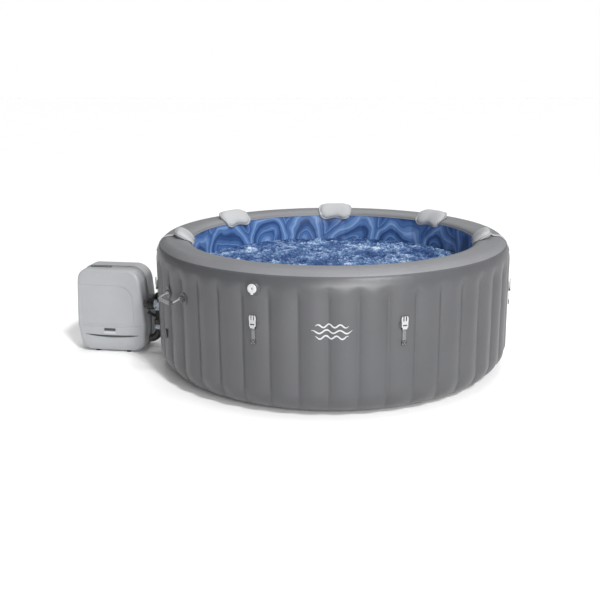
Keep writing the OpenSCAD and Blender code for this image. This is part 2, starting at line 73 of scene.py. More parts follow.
WATER_Z = 0.60

CLIP_PHIS = [-22.3, 19.7, 79, -81, 139.7, -142.3]
HEADREST_PHIS = [-131.5, -83.5, 83.5, 131.5, 179]
HANDLES = {"front": -54.15, "rear": 125.85}
HANDLE_HALF = 5.15
VALVE_PHI, VALVE_Z = -22.2, 0.696
DRAIN_PHI, DRAIN_Z = GROOVE_PHASE + 18.5 * PITCH, 0.170


# ---------------------------------------------------------------- geometry helpers

SHEET = 0.0015            # thickness of the PVC skins
SHARP_ANGLE = 35          # edges that fold more than this stay sharp, in degrees
BEVEL_ANGLE = 30

def polar(phi, r, z):
    a = math.radians(phi)
    return Vector((r * math.sin(a), -r * math.cos(a), z))


def wall_frame(phi, r, z):
    """Local frame on the wall: X along it, -Y outwards, Z up."""
    return Matrix.Rotation(math.radians(phi), 4, "Z") @ Matrix.Translation((0, -r, z))


def smoothstep(lo, hi, x):
    t = np.clip((x - lo) / (hi - lo), 0, 1)
    return t * t * (3 - 2 * t)


def mesh_object(name, verts, faces, material, smooth=True, matrix=None, attributes=None):
    mesh = bpy.data.meshes.new(name)
    mesh.from_pydata([tuple(v) for v in verts], [], faces)
    mesh.validate()
    for key, values in (attributes or {}).items():
        layer = mesh.attributes.new(key, "FLOAT", "POINT")
        layer.data.foreach_set("value", np.asarray(values, dtype=np.float32).ravel())
    if matrix is not None:
        mesh.transform(matrix)
    mesh.shade_smooth() if smooth else mesh.shade_flat()
    obj = bpy.data.objects.new(name, mesh)
    bpy.context.scene.collection.objects.link(obj)
    obj.data.materials.append(material)
    return obj


def grid_faces(rows, cols, wrap_cols=False, wrap_rows=False):
    """Quads of a grid whose vertices run along each row in turn."""
    faces = []
    for i in range(rows if wrap_rows else rows - 1):
        for j in range(cols if wrap_cols else cols - 1):
            a, b = i * cols + j, i * cols + (j + 1) % cols
            c, d = ((i + 1) % rows) * cols + (j + 1) % cols, ((i + 1) % rows) * cols + j
            faces.append((a, b, c, d))
    return faces


def settle(obj, body, slot, *nodes):
    """The piece rides on a body and stands for CAD nodes; the slot is not used."""
    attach(obj, body)
    if nodes:
        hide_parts(*nodes)


def join(name, objects):
    """One object from several."""
    bpy.ops.object.select_all(action="DESELECT")
    for obj in objects:
        obj.select_set(True)
    bpy.context.view_layer.objects.active = objects[0]
    bpy.ops.object.join()
    objects[0].name = name
    return objects[0]


def apply_modifiers(obj):
    bpy.ops.object.select_all(action="DESELECT")
    obj.select_set(True)
    bpy.context.view_layer.objects.active = obj
    for modifier in list(obj.modifiers):
        bpy.ops.object.modifier_apply(modifier=modifier.name)


def bevelled(obj, width, segments):
    modifier = obj.modifiers.new("edges", "BEVEL")
    modifier.width, modifier.segments = width, segments
    modifier.limit_method, modifier.angle_limit = "ANGLE", math.radians(BEVEL_ANGLE)
    modifier.harden_normals = False
    apply_modifiers(obj)


def lathe(name, profile, material, matrix=None, segments=96):
    """A profile of (radius, height) pairs turned round +Z."""
    verts = []
    for r, z in profile:
        for j in range(segments):
            a = 2 * math.pi * j / segments
            verts.append((r * math.cos(a), r * math.sin(a), z))
    faces = grid_faces(len(profile), segments, wrap_cols=True, wrap_rows=True)
    obj = mesh_object(name, verts, faces, material, matrix=matrix)
    recalculate(obj)
    return obj


def recalculate(obj):
    """Outward normals, doubled points merged and strongly folded edges kept sharp."""
    work = bmesh.new()
    work.from_mesh(obj.data)
    bmesh.ops.remove_doubles(work, verts=work.verts, dist=1e-6)
    bmesh.ops.recalc_face_normals(work, faces=work.faces)
    for edge in work.edges:
        if len(edge.link_faces) == 2 and edge.calc_face_angle(0) > math.radians(SHARP_ANGLE):
            edge.smooth = False
    work.to_mesh(obj.data)
    work.free()


def spline(points, per_span=8, closed=False):
    """A smooth curve through the points (Catmull-Rom)."""
    pts = [Vector(p) for p in points]
    n = len(pts)
    out = []
    for i in range(n if closed else n - 1):
        if closed:
            p0, p1, p2, p3 = (pts[(i + k) % n] for k in (-1, 0, 1, 2))
        else:
            p0, p1, p2, p3 = (pts[min(max(i + k, 0), n - 1)] for k in (-1, 0, 1, 2))
        for s in range(per_span):
            t = s / per_span
            out.append(0.5 * (2 * p1 + (p2 - p0) * t + (2 * p0 - 5 * p1 + 4 * p2 - p3) * t * t
                              + (3 * p1 - p0 - 3 * p2 + p3) * t ** 3))
    if not closed:
        out.append(pts[-1])
    return out


def sweep(name, path, section, material, closed=False, matrix=None, up=Vector((0, 0, 1))):
    """A section, a list of (side, up) offsets or a function of the way along, swept along a path."""
    n = len(path)
    verts = []
    size = 0
    for i, p in enumerate(path):
        before = path[(i - 1) % n] if closed or i > 0 else path[0]
        after = path[(i + 1) % n] if closed or i < n - 1 else path[-1]
        along = (after - before).normalized()
        side = along.cross(up)
        if side.length < 1e-4:
            side = along.cross(Vector((0, 1, 0)))
        side.normalize()
        lift = side.cross(along).normalized()
        ring = section(i / (n - 1)) if callable(section) else section
        size = len(ring)
        verts += [p + side * a + lift * b for a, b in ring]
    faces = grid_faces(n, size, wrap_cols=True, wrap_rows=closed)
    if not closed:
        faces += [tuple(range(size))[::-1], tuple(range((n - 1) * size, n * size))]
    obj = mesh_object(name, verts, faces, material, matrix=matrix)
    recalculate(obj)
    return obj


def circle(radius, sides=16):
    return [(radius * math.cos(2 * math.pi * k / sides), radius * math.sin(2 * math.pi * k / sides))
            for k in range(sides)]


def rounded_section(width, height, radius, steps=4):
    """A flat section with rounded corners."""
    points = []
    for cx, cy, start in ((1, 1, 0), (-1, 1, 90), (-1, -1, 180), (1, -1, 270)):
        for k in range(steps + 1):
            a = math.radians(start + 90 * k / steps)
            points.append((cx * (width / 2 - radius) + radius * math.cos(a),
                           cy * (height / 2 - radius) + radius * math.sin(a)))
    return points


def slab(name, outline, y0, y1, material, bevel, matrix=None, segments=3):
    """An outline in X and Z, given depth along Y and rounded edges."""
    n = len(outline)
    verts = [(x, y0, z) for x, z in outline] + [(x, y1, z) for x, z in outline]
    faces = [tuple(range(n))[::-1], tuple(range(n, 2 * n))]
    faces += [(i, (i + 1) % n, n + (i + 1) % n, n + i) for i in range(n)]
    obj = mesh_object(name, verts, faces, material)
    recalculate(obj)
    if bevel:
        bevelled(obj, bevel, segments)
    if matrix is not None:
        obj.data.transform(matrix)
    return obj


# ---------------------------------------------------------------- materials

class Nodes:
    """Small helper that adds nodes and links to one material."""

    def __init__(self, name):
        self.material = bpy.data.materials.new(name)
        self.material.use_nodes = True
        self.tree = self.material.node_tree
        self.shader = self.tree.nodes["Principled BSDF"]
        self.coords = self.tree.nodes.new("ShaderNodeTexCoord").outputs["Object"]

    def add(self, kind, values=None, inputs=None):
        item = self.tree.nodes.new("ShaderNode" + kind)
        for key, value in (values or {}).items():
            setattr(item, key, value)
        for key, value in (inputs or {}).items():
            if isinstance(value, bpy.types.NodeSocket):
                self.tree.links.new(value, item.inputs[key])
            else:
                item.inputs[key].default_value = value
        return item

    def link(self, output, socket):
        self.tree.links.new(output, self.shader.inputs[socket])

    def put(self, **values):
        for key, value in values.items():
            self.shader.inputs[key.replace("_", " ")].default_value = value

    def noise(self, scale, detail=4, rough=0.5, vector=None):
        return self.add("TexNoise", inputs={"Vector": vector or self.coords, "Scale": scale,
                                            "Detail": detail, "Roughness": rough}).outputs["Fac"]

    def math(self, operation, a, b=0.0):
        return self.add("Math", {"operation": operation}, {0: a, 1: b}).outputs[0]

    def ramp(self, fac, stops):
        item = self.add("ValToRGB", inputs={"Fac": fac})
        elements = item.color_ramp.elements
        while len(elements) < len(stops):
            elements.new(0.5)
        for element, (place, colour) in zip(elements, stops):
            element.position = place
            element.color = (*colour, 1)
        return item.outputs["Color"]

    def scaled(self, fac, lo, hi):
        return self.add("MapRange", inputs={"Value": fac, "To Min": lo, "To Max": hi}).outputs["Result"]

    def mix(self, fac, a, b, blend="MIX"):
        item = self.add("Mix", {"data_type": "RGBA", "blend_type": blend})
        for index, value in ((0, fac), (6, a), (7, b)):
            if isinstance(value, bpy.types.NodeSocket):
                self.tree.links.new(value, item.inputs[index])
            else:
                item.inputs[index].default_value = value if index == 0 else (*value, 1)
        return item.outputs[2]

    def bump(self, height, strength, distance, under=None):
        inputs = {"Height": height, "Strength": strength, "Distance": distance}
        if under is not None:
            inputs["Normal"] = under
        return self.add("Bump", inputs=inputs).outputs["Normal"]


def shade(colour, factor):
    return tuple(min(c * factor, 1) for c in colour)


def soft_sheet(name, colour, rough=0.42, grain=700, grain_depth=0.0003, coat=0.0, spec=0.45):
    """Laminated PVC: fine leathery grain, slow colour drift and scuffs."""
    n = Nodes(name)
    drift = n.noise(3.5, 3)
    scuff = n.noise(38, 6, 0.65)
    base = n.ramp(drift, [(0.3, shade(colour, 0.93)), (0.7, shade(colour, 1.07))])
    n.link(n.mix(n.scaled(scuff, 0.0, 0.22), base, shade(colour, 1.25)), "Base Color")
    n.link(n.scaled(scuff, rough - 0.05, rough + 0.09), "Roughness")
    cells = n.add("TexVoronoi", {"feature": "DISTANCE_TO_EDGE"},
                  {"Vector": n.coords, "Scale": grain}).outputs["Distance"]
    fine = n.bump(cells, 0.35, grain_depth)
    waves = n.noise(14, 3)
    n.link(n.bump(waves, 0.25, 0.006, fine), "Normal")
    n.put(Specular_IOR_Level=spec, Coat_Weight=coat, Coat_Roughness=0.35)
    return n.material


def moulded(name, colour, rough=0.45, grain=1400, grain_depth=0.00012, coat=0.0, spec=0.5):
    """Injection-moulded plastic with a fine spark texture and rubbed patches."""
    n = Nodes(name)
    drift = n.noise(6, 3)
    base = n.ramp(drift, [(0.3, shade(colour, 0.96)), (0.7, shade(colour, 1.04))])
    rub = n.noise(24, 5, 0.6)
    n.link(n.mix(n.scaled(rub, 0.0, 0.1), base, shade(colour, 1.3)), "Base Color")
    n.link(n.scaled(rub, rough - 0.06, rough + 0.07), "Roughness")
    n.link(n.bump(n.noise(grain, 2), 0.25, grain_depth), "Normal")
    n.put(Specular_IOR_Level=spec, Coat_Weight=coat, Coat_Roughness=0.12)
    return n.material


def metal(name, colour, rough=0.3):
    n = Nodes(name)
    brushed = n.add("Mapping", inputs={"Vector": n.coords, "Scale": (40, 900, 900)}).outputs["Vector"]
    lines = n.noise(1, 4, vector=brushed)
    n.link(n.ramp(lines, [(0.3, shade(colour, 0.85)), (0.7, shade(colour, 1.1))]), "Base Color")
    n.link(n.scaled(lines, rough - 0.08, rough + 0.1), "Roughness")
    n.link(n.bump(lines, 0.2, 0.0001), "Normal")
    n.put(Metallic=1.0)
    return n.material


def woven(name, colour, thread=900):
    """Webbing: two crossed sets of threads."""
    n = Nodes(name)
    parts = n.add("SeparateXYZ", inputs={"Vector": n.coords})
    sideways = n.math("ADD", parts.outputs["X"], parts.outputs["Y"])
    across = n.math("SINE", n.math("MULTIPLY", sideways, thread * 3))
    along = n.math("SINE", n.math("MULTIPLY", parts.outputs["Z"], thread * 3))
    weave = n.math("MULTIPLY", across, along)
    fuzz = n.noise(500, 3)
    # Sunk cells of the weave are painted darker and raised ones lighter: painted shade following the weave's
    # relief.
    n.link(n.ramp(n.scaled(weave, 0.2, 0.8), [(0.1, shade(colour, 0.7)), (0.9, shade(colour, 1.15))]),
           "Base Color")
    n.link(n.scaled(fuzz, 0.75, 0.95), "Roughness")
    n.link(n.bump(weave, 0.5, 0.0004), "Normal")
    n.put(Specular_IOR_Level=0.25, Sheen_Weight=0.3, Sheen_Roughness=0.5)
    return n.material


def liner_material():
    """Agate swirls: nested arches of light and dark blue, repeated round the wall."""
    n = Nodes("liner_print")
    around = n.add("Attribute", {"attribute_name": "around"}).outputs["Fac"]
    height = n.add("Attribute", {"attribute_name": "height"}).outputs["Fac"]
    place = n.add("CombineXYZ", inputs={"X": around, "Y": height}).outputs["Vector"]
    warp = n.add("TexNoise", inputs={"Vector": place, "Scale": 4.2, "Detail": 1.0, "Roughness": 0.4})
    offset = n.add("VectorMath", {"operation": "MULTIPLY_ADD"},
                   {0: warp.outputs["Color"], 1: (0.30, 0.24, 0.0), 2: place}).outputs[0]
    parts = n.add("SeparateXYZ", inputs={"Vector": offset})
    cell = n.add("Math", {"operation": "PINGPONG"}, {0: parts.outputs["X"], 1: 0.17}).outputs[0]
    rise = n.math("MULTIPLY", n.math("SUBTRACT", parts.outputs["Y"], 0.66), 0.75)
    reach = n.math("SQRT", n.math("ADD", n.math("MULTIPLY", cell, cell), n.math("MULTIPLY", rise, rise)))
    wobble = n.noise(11, 2, 0.5, vector=offset)
    rings = n.math("ADD", n.math("MULTIPLY", reach, 8.0), n.math("MULTIPLY", wobble, 0.30))
    band = n.math("FRACT", rings)
    navy, deep, mid = (0.022, 0.052, 0.150), (0.042, 0.098, 0.26), (0.070, 0.150, 0.35)
    light, pale = (0.125, 0.230, 0.46), (0.25, 0.38, 0.62)
    colour = n.ramp(band, [(0.0, deep), (0.10, navy), (0.20, mid), (0.34, light), (0.40, pale),
                           (0.46, light), (0.60, mid), (0.72, deep), (0.80, light), (0.88, mid), (1.0, deep)])
    lines = n.math("FRACT", n.math("MULTIPLY", rings, 7.0))
    ruled = n.ramp(lines, [(0.0, (0.50, 0.52, 0.58)), (0.22, (1.0, 1.0, 1.0)), (0.70, (1.0, 1.0, 1.0)),
                           (1.0, (0.60, 0.62, 0.68))])
    n.link(n.mix(0.75, colour, ruled, "MULTIPLY"), "Base Color")
    n.link(n.scaled(n.noise(30, 4), 0.26, 0.40), "Roughness")
    cells = n.add("TexVoronoi", {"feature": "DISTANCE_TO_EDGE"},
                  {"Vector": n.coords, "Scale": 600}).outputs["Distance"]
    n.link(n.bump(n.noise(12, 3), 0.3, 0.008, n.bump(cells, 0.3, 0.0003)), "Normal")
    n.put(Specular_IOR_Level=0.35, Coat_Weight=0.15, Coat_Roughness=0.25)
    return n.material


def water_material():
    """Churned water: dark blue in the hollows, white foam on the crests."""
    n = Nodes("bubbling_water")
    crest = n.add("Attribute", {"attribute_name": "crest"}).outputs["Fac"]
    fizz = n.noise(95, 4, 0.75)
    froth = n.noise(30, 4, 0.7)
    patches = n.noise(4.5, 2, 0.6)
    foam = n.math("ADD", n.math("MULTIPLY", crest, 0.42),
                  n.math("MULTIPLY", n.math("ADD", n.math("ADD", fizz, froth), patches), 0.30))
    colour = n.ramp(foam, [(0.52, (0.006, 0.018, 0.070)), (0.60, (0.018, 0.052, 0.160)),
                           (0.67, (0.048, 0.105, 0.26)), (0.73, (0.15, 0.25, 0.44)),
                           (0.82, (0.62, 0.72, 0.85))])
    n.link(colour, "Base Color")
    n.link(n.scaled(foam, 0.10, 0.5), "Roughness")
    n.link(n.bump(n.math("ADD", fizz, froth), 0.9, 0.010), "Normal")
    n.put(IOR=1.33, Specular_IOR_Level=0.3)
    return n.material


def clear_material():
    n = Nodes("clear_plastic")
    haze = n.noise(60, 4)
    n.link(n.ramp(haze, [(0.3, (0.62, 0.70, 0.80)), (0.7, (0.78, 0.84, 0.90))]), "Base Color")
    n.link(n.scaled(haze, 0.06, 0.2), "Roughness")
    n.link(n.bump(haze, 0.2, 0.0004), "Normal")
    n.put(Transmission_Weight=0.45, IOR=1.46, Coat_Weight=0.4, Coat_Roughness=0.05)
    return n.material


def board_material():
    n = Nodes("circuit_board")
    voronoi = n.add("TexVoronoi", {"distance": "CHEBYCHEV"}, {"Vector": n.coords, "Scale": 120})
    cells = voronoi.outputs["Distance"]
    n.link(n.ramp(cells, [(0.2, (0.02, 0.16, 0.07)), (0.6, (0.03, 0.26, 0.1))]), "Base Color")
    n.link(n.bump(cells, 0.5, 0.001), "Normal")
    n.put(Roughness=0.45)
    return n.material


WALL = soft_sheet("wall_pvc", (0.064, 0.065, 0.070), rough=0.36, spec=0.60)
RIM = soft_sheet("rim_pvc", (0.178, 0.180, 0.190), rough=0.46, spec=0.35)
SEAM = soft_sheet("seam_pvc", (0.078, 0.079, 0.085), rough=0.42)
LINER = liner_material()
WATER = water_material()
PATCH = soft_sheet("patch_pvc", (0.056, 0.057, 0.062), rough=0.3, coat=0.2)
GRIP = soft_sheet("grip_pvc", (0.22, 0.223, 0.230), rough=0.40)
PAD = soft_sheet("pad_pvc", (0.41, 0.415, 0.425), rough=0.58, grain=520, grain_depth=0.0004, spec=0.25)
# Darker than the pad: painted shade for the shadow line under the pads' rolled edges. The liner bead takes
# the same colour.
PIPING_PAINTED_SHADE = soft_sheet("piping_painted_shade", (0.26, 0.264, 0.275), rough=0.5, spec=0.3)
THREAD = woven("thread", (0.42, 0.43, 0.45), thread=2200)
WEBBING = woven("webbing", (0.19, 0.193, 0.198))
DARK_WEB = woven("stitched_webbing", (0.030, 0.031, 0.034))
WHITE = moulded("white_plastic", (0.47, 0.48, 0.49), rough=0.42, coat=0.05)
CASING = moulded("casing_plastic", (0.345, 0.353, 0.366), rough=0.44, coat=0.05)
BAND = moulded("band_plastic", (0.25, 0.255, 0.266), rough=0.42)
BUCKLE = moulded("buckle_plastic", (0.40, 0.405, 0.41), rough=0.34, coat=0.15)
# Painted shadow: a dark sheet laid in the upper part of the pump's curved groove.
GROOVE_SHADE = moulded("painted_groove_shadow", (0.055, 0.056, 0.060), rough=0.5)
DARK = moulded("dark_plastic", (0.05, 0.05, 0.054), rough=0.4)
BLACK = moulded("nut_plastic", (0.012, 0.012, 0.013), rough=0.28, spec=0.6)
GLOSS = moulded("panel_gloss", (0.006, 0.006, 0.007), rough=0.10, coat=0.8)
ICON = moulded("panel_icons", (0.55, 0.57, 0.60), rough=0.4)
HOSE = soft_sheet("hose_rubber", (0.014, 0.014, 0.015), rough=0.35, grain=1500)
RUBBER = soft_sheet("black_rubber", (0.02, 0.02, 0.02), rough=0.6, grain=1200)
PORT = moulded("port_plastic", (0.16, 0.17, 0.19), rough=0.4)
CLEAR = clear_material()
MARK = soft_sheet("printed_mark", (0.46, 0.47, 0.48), rough=0.5, spec=0.3)
MEDIA = woven("filter_media", (0.62, 0.68, 0.74))
ORANGE = moulded("rotor_plastic", (0.5, 0.2, 0.05), rough=0.45)
STEEL = metal("brushed_steel", (0.55, 0.56, 0.57))
BOARD = board_material()
WEB_SHEET = soft_sheet("beam_sheet", (0.6, 0.6, 0.6), rough=0.5)

# CAD nodes that keep their own shape
KEPT = {
    "base_sheet": WALL, "wall_i_beams": WEB_SHEET, "air_jet_channel": PORT,
    "jet_manifold": PORT, "jet_bodies": WHITE, "wall_ports": PORT, "coupling_seals": RUBBER,
    "filter_housing": WHITE, "filter_cartridge": MEDIA, "filter_lid": WHITE,
    "inflation_valve_stem": WHITE, "pump_base_tray": DARK, "control_board": BOARD,
    "jet_pump_housing": DARK, "jet_impeller": ORANGE, "heater": STEEL, "blower_housing": DARK,
    "blower_fan": ORANGE, "vent_grille": BAND, "cable_gland": DARK, "casing_screws": STEEL,
    **{f"jet_nozzle_{i}": STEEL for i in range(1, 6)},
}


def dress_kept_nodes():
    for node, material in KEPT.items():
        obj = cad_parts[node]
        obj.data.materials.clear()
        obj.data.materials.append(material)


# ---------------------------------------------------------------- tub skins

def rim_out_arc(start, end, steps):
    angles = [math.radians(start + (end - start) * i / steps) for i in range(steps + 1)]
    return [(RIM_FLAT_OUT + RIM_OUT[0] * math.cos(t), TUB_H - RIM_OUT[1] + RIM_OUT[1] * math.sin(t))
            for t in angles]


def rim_in_arc(steps):
    angles = [math.radians(90 * i / steps) for i in range(steps + 1)]
    return [(RIM_FLAT_IN - RIM_IN[0] * math.sin(t), TUB_H - RIM_IN[1] + RIM_IN[1] * math.cos(t))
            for t in angles]


SEAM_ANGLE = math.degrees(math.asin((SEAM_Z - TUB_H + RIM_OUT[1]) / RIM_OUT[1]))


def outer_profile():
    """(radius, height) from the floor up to the seam under the rim."""
    points = []
    for i in range(28):
        t = math.radians(90 * i / 28)
        points.append((FOOT_R + FOOT[0] * math.sin(t), FOOT[1] - FOOT[1] * math.cos(t)))
    low, high = FOOT[1], TUB_H - RIM_OUT[1]
    points += [(TUB_R, low + (high - low) * i / 40) for i in range(40)]
    return points + rim_out_arc(0, SEAM_ANGLE, 18)


def groove_shape(phi):
    """0 at the middle of a panel, 1 in a groove, steeper near the groove."""
    t = np.abs(((phi - GROOVE_PHASE) / PITCH + 0.5) % 1 - 0.5) * 2
    across = 1 - t
    return 0.90 * across ** 1.9 + 0.10 * np.exp(-(t / 0.13) ** 2)


def ripple(x, y, z, scale, seed=0.0):
    return noise.noise(Vector((x * scale + seed, y * scale, z * scale)))


def build_outer_wall():
    profile = outer_profile()
    per_panel = 26
    cols = PANELS * per_panel
    phis = GROOVE_PHASE + np.arange(cols) * PITCH / per_panel
    grooves = groove_shape(phis)
    verts = []
    for r, z in profile:
        fade = float(smoothstep(0.728, 0.640, z) if z > 0.4 else smoothstep(0.0, 0.11, z))
        pucker = math.exp(-((z - 0.715) / 0.028) ** 2)
        for phi, g in zip(phis, grooves):
            wobble = 0.0012 * ripple(phi * 0.05, z * 3.0, 0, 1.4)
            crimp = 0.0022 * pucker * ripple(phi * 0.32, z * 6, 1.0, 1.0, 7.0)
            verts.append(polar(phi, r - GROOVE_DEPTH * g * fade + (wobble - 0.0012 + crimp) * fade, z))
    faces = grid_faces(len(profile), cols, wrap_cols=True)
    wall = mesh_object("wall_panels", verts, faces, WALL)
    thick = wall.modifiers.new("sheet", "SOLIDIFY")
    thick.thickness, thick.offset = SHEET, -1
    apply_modifiers(wall)
    settle(wall, TUB, "outer_pvc", "outer_wall")


def build_rim():
    profile = rim_out_arc(SEAM_ANGLE, 90, 22)
    profile += [(RIM_FLAT_OUT + (RIM_FLAT_IN - RIM_FLAT_OUT) * i / 6, TUB_H) for i in range(1, 6)]
    profile += rim_in_arc(22)
    cols = PANELS * 20
    verts = []
    for k, (r, z) in enumerate(profile):
        edge = math.exp(-(k / 5.0) ** 2)
        inner = math.exp(-((len(profile) - 1 - k) / 6.0) ** 2)
        for j in range(cols):
            phi = GROOVE_PHASE + j * 360 / cols
            a = ripple(phi * 0.42, 2.0, 0, 1.0, 3.0)
            b = ripple(phi * 0.9, 5.0, 0, 1.0, 9.0)
            drop = 0.0016 * edge * a + 0.0022 * inner * b + 0.0007 * ripple(phi * 0.11, r * 14, 0, 1.0)
            verts.append(polar(phi, r, z - abs(drop)))
    rim = mesh_object("rim_skin", verts, grid_faces(len(profile), cols, wrap_cols=True), RIM)
    thick = rim.modifiers.new("sheet", "SOLIDIFY")
    thick.thickness, thick.offset = SHEET, -1
    apply_modifiers(rim)
    settle(rim, TUB, "rim_pvc", "top_rim")


def build_seams():
    """Welded lap under the rim, the bead between rim and liner, and a welded strip over the rim at one place.
    """
    steps = 720
    lap = []
    t = math.radians(SEAM_ANGLE)
    slope = Vector((-RIM_OUT[0] * math.sin(t), RIM_OUT[1] * math.cos(t))).normalized()
    outward = Vector((slope.y, -slope.x))
    centre = Vector((RIM_FLAT_OUT + RIM_OUT[0] * math.cos(t), SEAM_Z))
    width, height = 0.0105, 0.0013
    profile = []
    for a, b in ((-0.5, -0.4), (-0.46, 0.8), (-0.2, 1.0), (-0.12, 0.35), (0.12, 0.35), (0.2, 1.0),
                 (0.46, 0.8), (0.5, -0.4)):
        p = centre + slope * a * width + outward * b * height
        profile.append((p.x, p.y))
    seam = lathe("rim_seam", profile, SEAM, segments=steps)
    lap.append(seam)
    bead = [(LINER_R - 0.0008 + 0.0026 * math.cos(a), LINER_TOP - 0.001 + 0.0026 * math.sin(a))
            for a in (2 * math.pi * k / 10 for k in range(10))]
    lap.append(lathe("liner_bead", bead, PIPING_PAINTED_SHADE, segments=steps))
    tick = sweep("rim_join", [polar(7.4, RIM_FLAT_OUT + RIM_OUT[0] * math.cos(math.radians(a)) + 0.0005,
                                    TUB_H - RIM_OUT[1] + (RIM_OUT[1] + 0.0005) * math.sin(math.radians(a)))
                              for a in range(49, 91, 3)]
                 + [polar(7.4, r, TUB_H + 0.0005) for r in (0.99, 0.97, 0.958)],
                 rounded_section(0.009, 0.0011, 0.0005), RIM)
    lap.append(tick)
    for obj in lap:
        settle(obj, TUB, "patch_pvc")


def build_liner():
    per_panel = 24
    cols = PANELS * per_panel
    rows = 60
    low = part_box("inner_wall")[0][2]
    verts, around, height = [], [], []
    for i in range(rows + 1):
        z = low + (LINER_TOP - low) * i / rows
        fade = float(smoothstep(LINER_TOP, LINER_TOP - 0.07, z) * smoothstep(low, low + 0.08, z))
        for j in range(cols):
            phi = GROOVE_PHASE + j * PITCH / per_panel
            g = float(groove_shape(np.array([phi]))[0])
            crimp = 0.0035 * math.exp(-((LINER_TOP - z) / 0.03) ** 2) * ripple(phi * 0.7, z * 4, 0, 1.0, 5.0)
            r = LINER_R - 0.004 * fade * (1 - g) + abs(crimp) + 0.0004
            verts.append(polar(phi, r, z))
            around.append(math.radians(phi) * LINER_R)
            height.append(z)
    faces = [f[::-1] for f in grid_faces(rows + 1, cols, wrap_cols=True)]
    liner = mesh_object("liner_wall", verts, faces, LINER, attributes={"around": around, "height": height})
    settle(liner, TUB, "liner_pvc", "inner_wall")

    rings = 24
    verts, around, height = [], [], []
    floor_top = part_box("floor_liner")[1][2]
    for i in range(rings):
        r = LINER_R * (i + 0.02) / (rings - 1 + 0.02) - 0.0004
        for j in range(180):
            p = polar(j * 2, max(r, 0.001), floor_top + 0.002 * math.sin(r * 40))
            verts.append(p)
            around.append(p.x)
            height.append(p.y)
    faces = [f[::-1] for f in grid_faces(rings, 180, wrap_cols=True)]
    floor = mesh_object("liner_floor", verts, faces, LINER, attributes={"around": around, "height": height})
    settle(floor, TUB, "liner_pvc", "floor_liner")


def build_water():
    rings, cols = 300, 900
    verts, crest = [], []
    for i in range(rings):
        r = (LINER_R - 0.0055) * ((i + 1) / rings) ** 0.72
        for j in range(cols):
            a = 2 * math.pi * j / cols
            x, y = r * math.sin(a), -r * math.cos(a)
            broad = noise.noise(Vector((x * 5.2, y * 5.2, 0.3)))
            chop = noise.noise(Vector((x * 15, y * 15, 4.1)))
            sharp = 1 - abs(noise.noise(Vector((x * 24, y * 24, 7.7)))) * 3
            fizz = noise.noise(Vector((x * 72, y * 72, 2.2)))
            h = 0.30 * broad + 0.38 * chop + 0.22 * sharp + 0.34 * fizz
            calm = min(1.0, (LINER_R - r) / 0.05)
            verts.append((x, y, WATER_Z + 0.026 * h * (0.45 + 0.55 * calm)))
            crest.append(0.5 + 0.5 * h)
    faces = [f[::-1] for f in grid_faces(rings, cols, wrap_cols=True)]
    faces.append(tuple(range(cols)))
    water = mesh_object("water_surface", verts, faces, WATER, attributes={"crest": crest})
    recalculate(water)
    settle(water, TUB, "liner_pvc")


# ---------------------------------------------------------------- headrests

PAD_T = 0.054
PAD_CREST = 0.92          # where the crowned middle ends and the rolled edge starts
PAD_BEND_R = 0.90
PAD_LENGTH = 0.86         # the outline's length down the pad is scaled by this
PAD_DOWN = 0.166          # the outline's far end, before it is scaled
PAD_CENTRE = (0.0, 0.080) # across and down the pad, where the rings of its mesh shrink to
PAD_START = (0.966, TUB_H + 0.029)
PAD_SLOPES = (14, 66)     # how steeply the pad leans at its upper and its lower edge, in degrees
PAD_REST = (RIM_IN[0] + 0.0075, RIM_IN[1] + 0.0025)


def pad_spine(s):
    """Place and normal of the pad's middle surface, a way s from its outer edge, as (r, z), (nr, nz)."""
    steps = 12
    r, z = PAD_START
    for k in range(steps):
        way = (k + 0.5) / steps * s / PAD_DOWN
        lean = math.radians(PAD_SLOPES[0] + (PAD_SLOPES[1] - PAD_SLOPES[0]) * way)
        r, z = r - s * PAD_LENGTH / steps * math.cos(lean), z - s * PAD_LENGTH / steps * math.sin(lean)
    lean = math.radians(PAD_SLOPES[0] + (PAD_SLOPES[1] - PAD_SLOPES[0]) * s / PAD_DOWN)
    return (r, z), (-math.sin(lean), math.cos(lean))


def rest_on_rim(r, z):
    """Lifts a point that is inside the rim out to its surface."""
    wide, tall = PAD_REST
    if r >= RIM_FLAT_IN:
        return r, max(z, LINER_TOP + tall)
    if z <= LINER_TOP:
        return min(r, RIM_FLAT_IN - wide), z
    reach = math.hypot((RIM_FLAT_IN - r) / wide, (z - LINER_TOP) / tall)
    if reach >= 1:
        return r, z
    return RIM_FLAT_IN - (RIM_FLAT_IN - r) / reach, LINER_TOP + (z - LINER_TOP) / reach


def pad_outline():
    """Rounded trapezoid with two lobes, as (across, down the pad) points."""
    half = [(0.0, 0.004), (0.050, 0.0035), (0.083, 0.009), (0.105, 0.030), (0.1155, 0.057), (0.118, 0.090),
            (0.115, 0.122), (0.104, 0.149), (0.082, 0.165), (0.058, 0.165), (0.030, 0.157), (0.0, 0.153)]
    loop = half + [(-x, s) for x, s in half[-2:0:-1]]
    return [(p.x, p.y) for p in spline([(x, s, 0) for x, s in loop], per_span=8, closed=True)]


def pad_height(rho, face):
    """Height of the pad over its middle surface: a crown, a sewn channel and a rolled edge."""
    crown = max(0.0, 1 - (rho / PAD_CREST) ** 5.0) ** 0.50
    roll = math.sqrt(max(0.0, 1 - ((rho - 0.955) / 0.045) ** 2)) if rho > 0.91 else 0.0
    top = (PAD_T / 2 - 0.001) if face > 0 else (PAD_T / 2 - 0.003)
    return face * max(top * crown, 0.0062 * roll, 0.0026)


def pad_point(phi, x, s, h):
    (r, z), (nr, nz) = pad_spine(s)
    r, z = rest_on_rim(r + nr * h, z + nz * h)
    return polar(phi + math.degrees(x / PAD_BEND_R), r, z)


def on_pad(x, s, rho):
    """The place on a shrunken copy of the outline, as (across, down the pad)."""
    return PAD_CENTRE[0] + (x - PAD_CENTRE[0]) * rho, PAD_CENTRE[1] + (s - PAD_CENTRE[1]) * rho


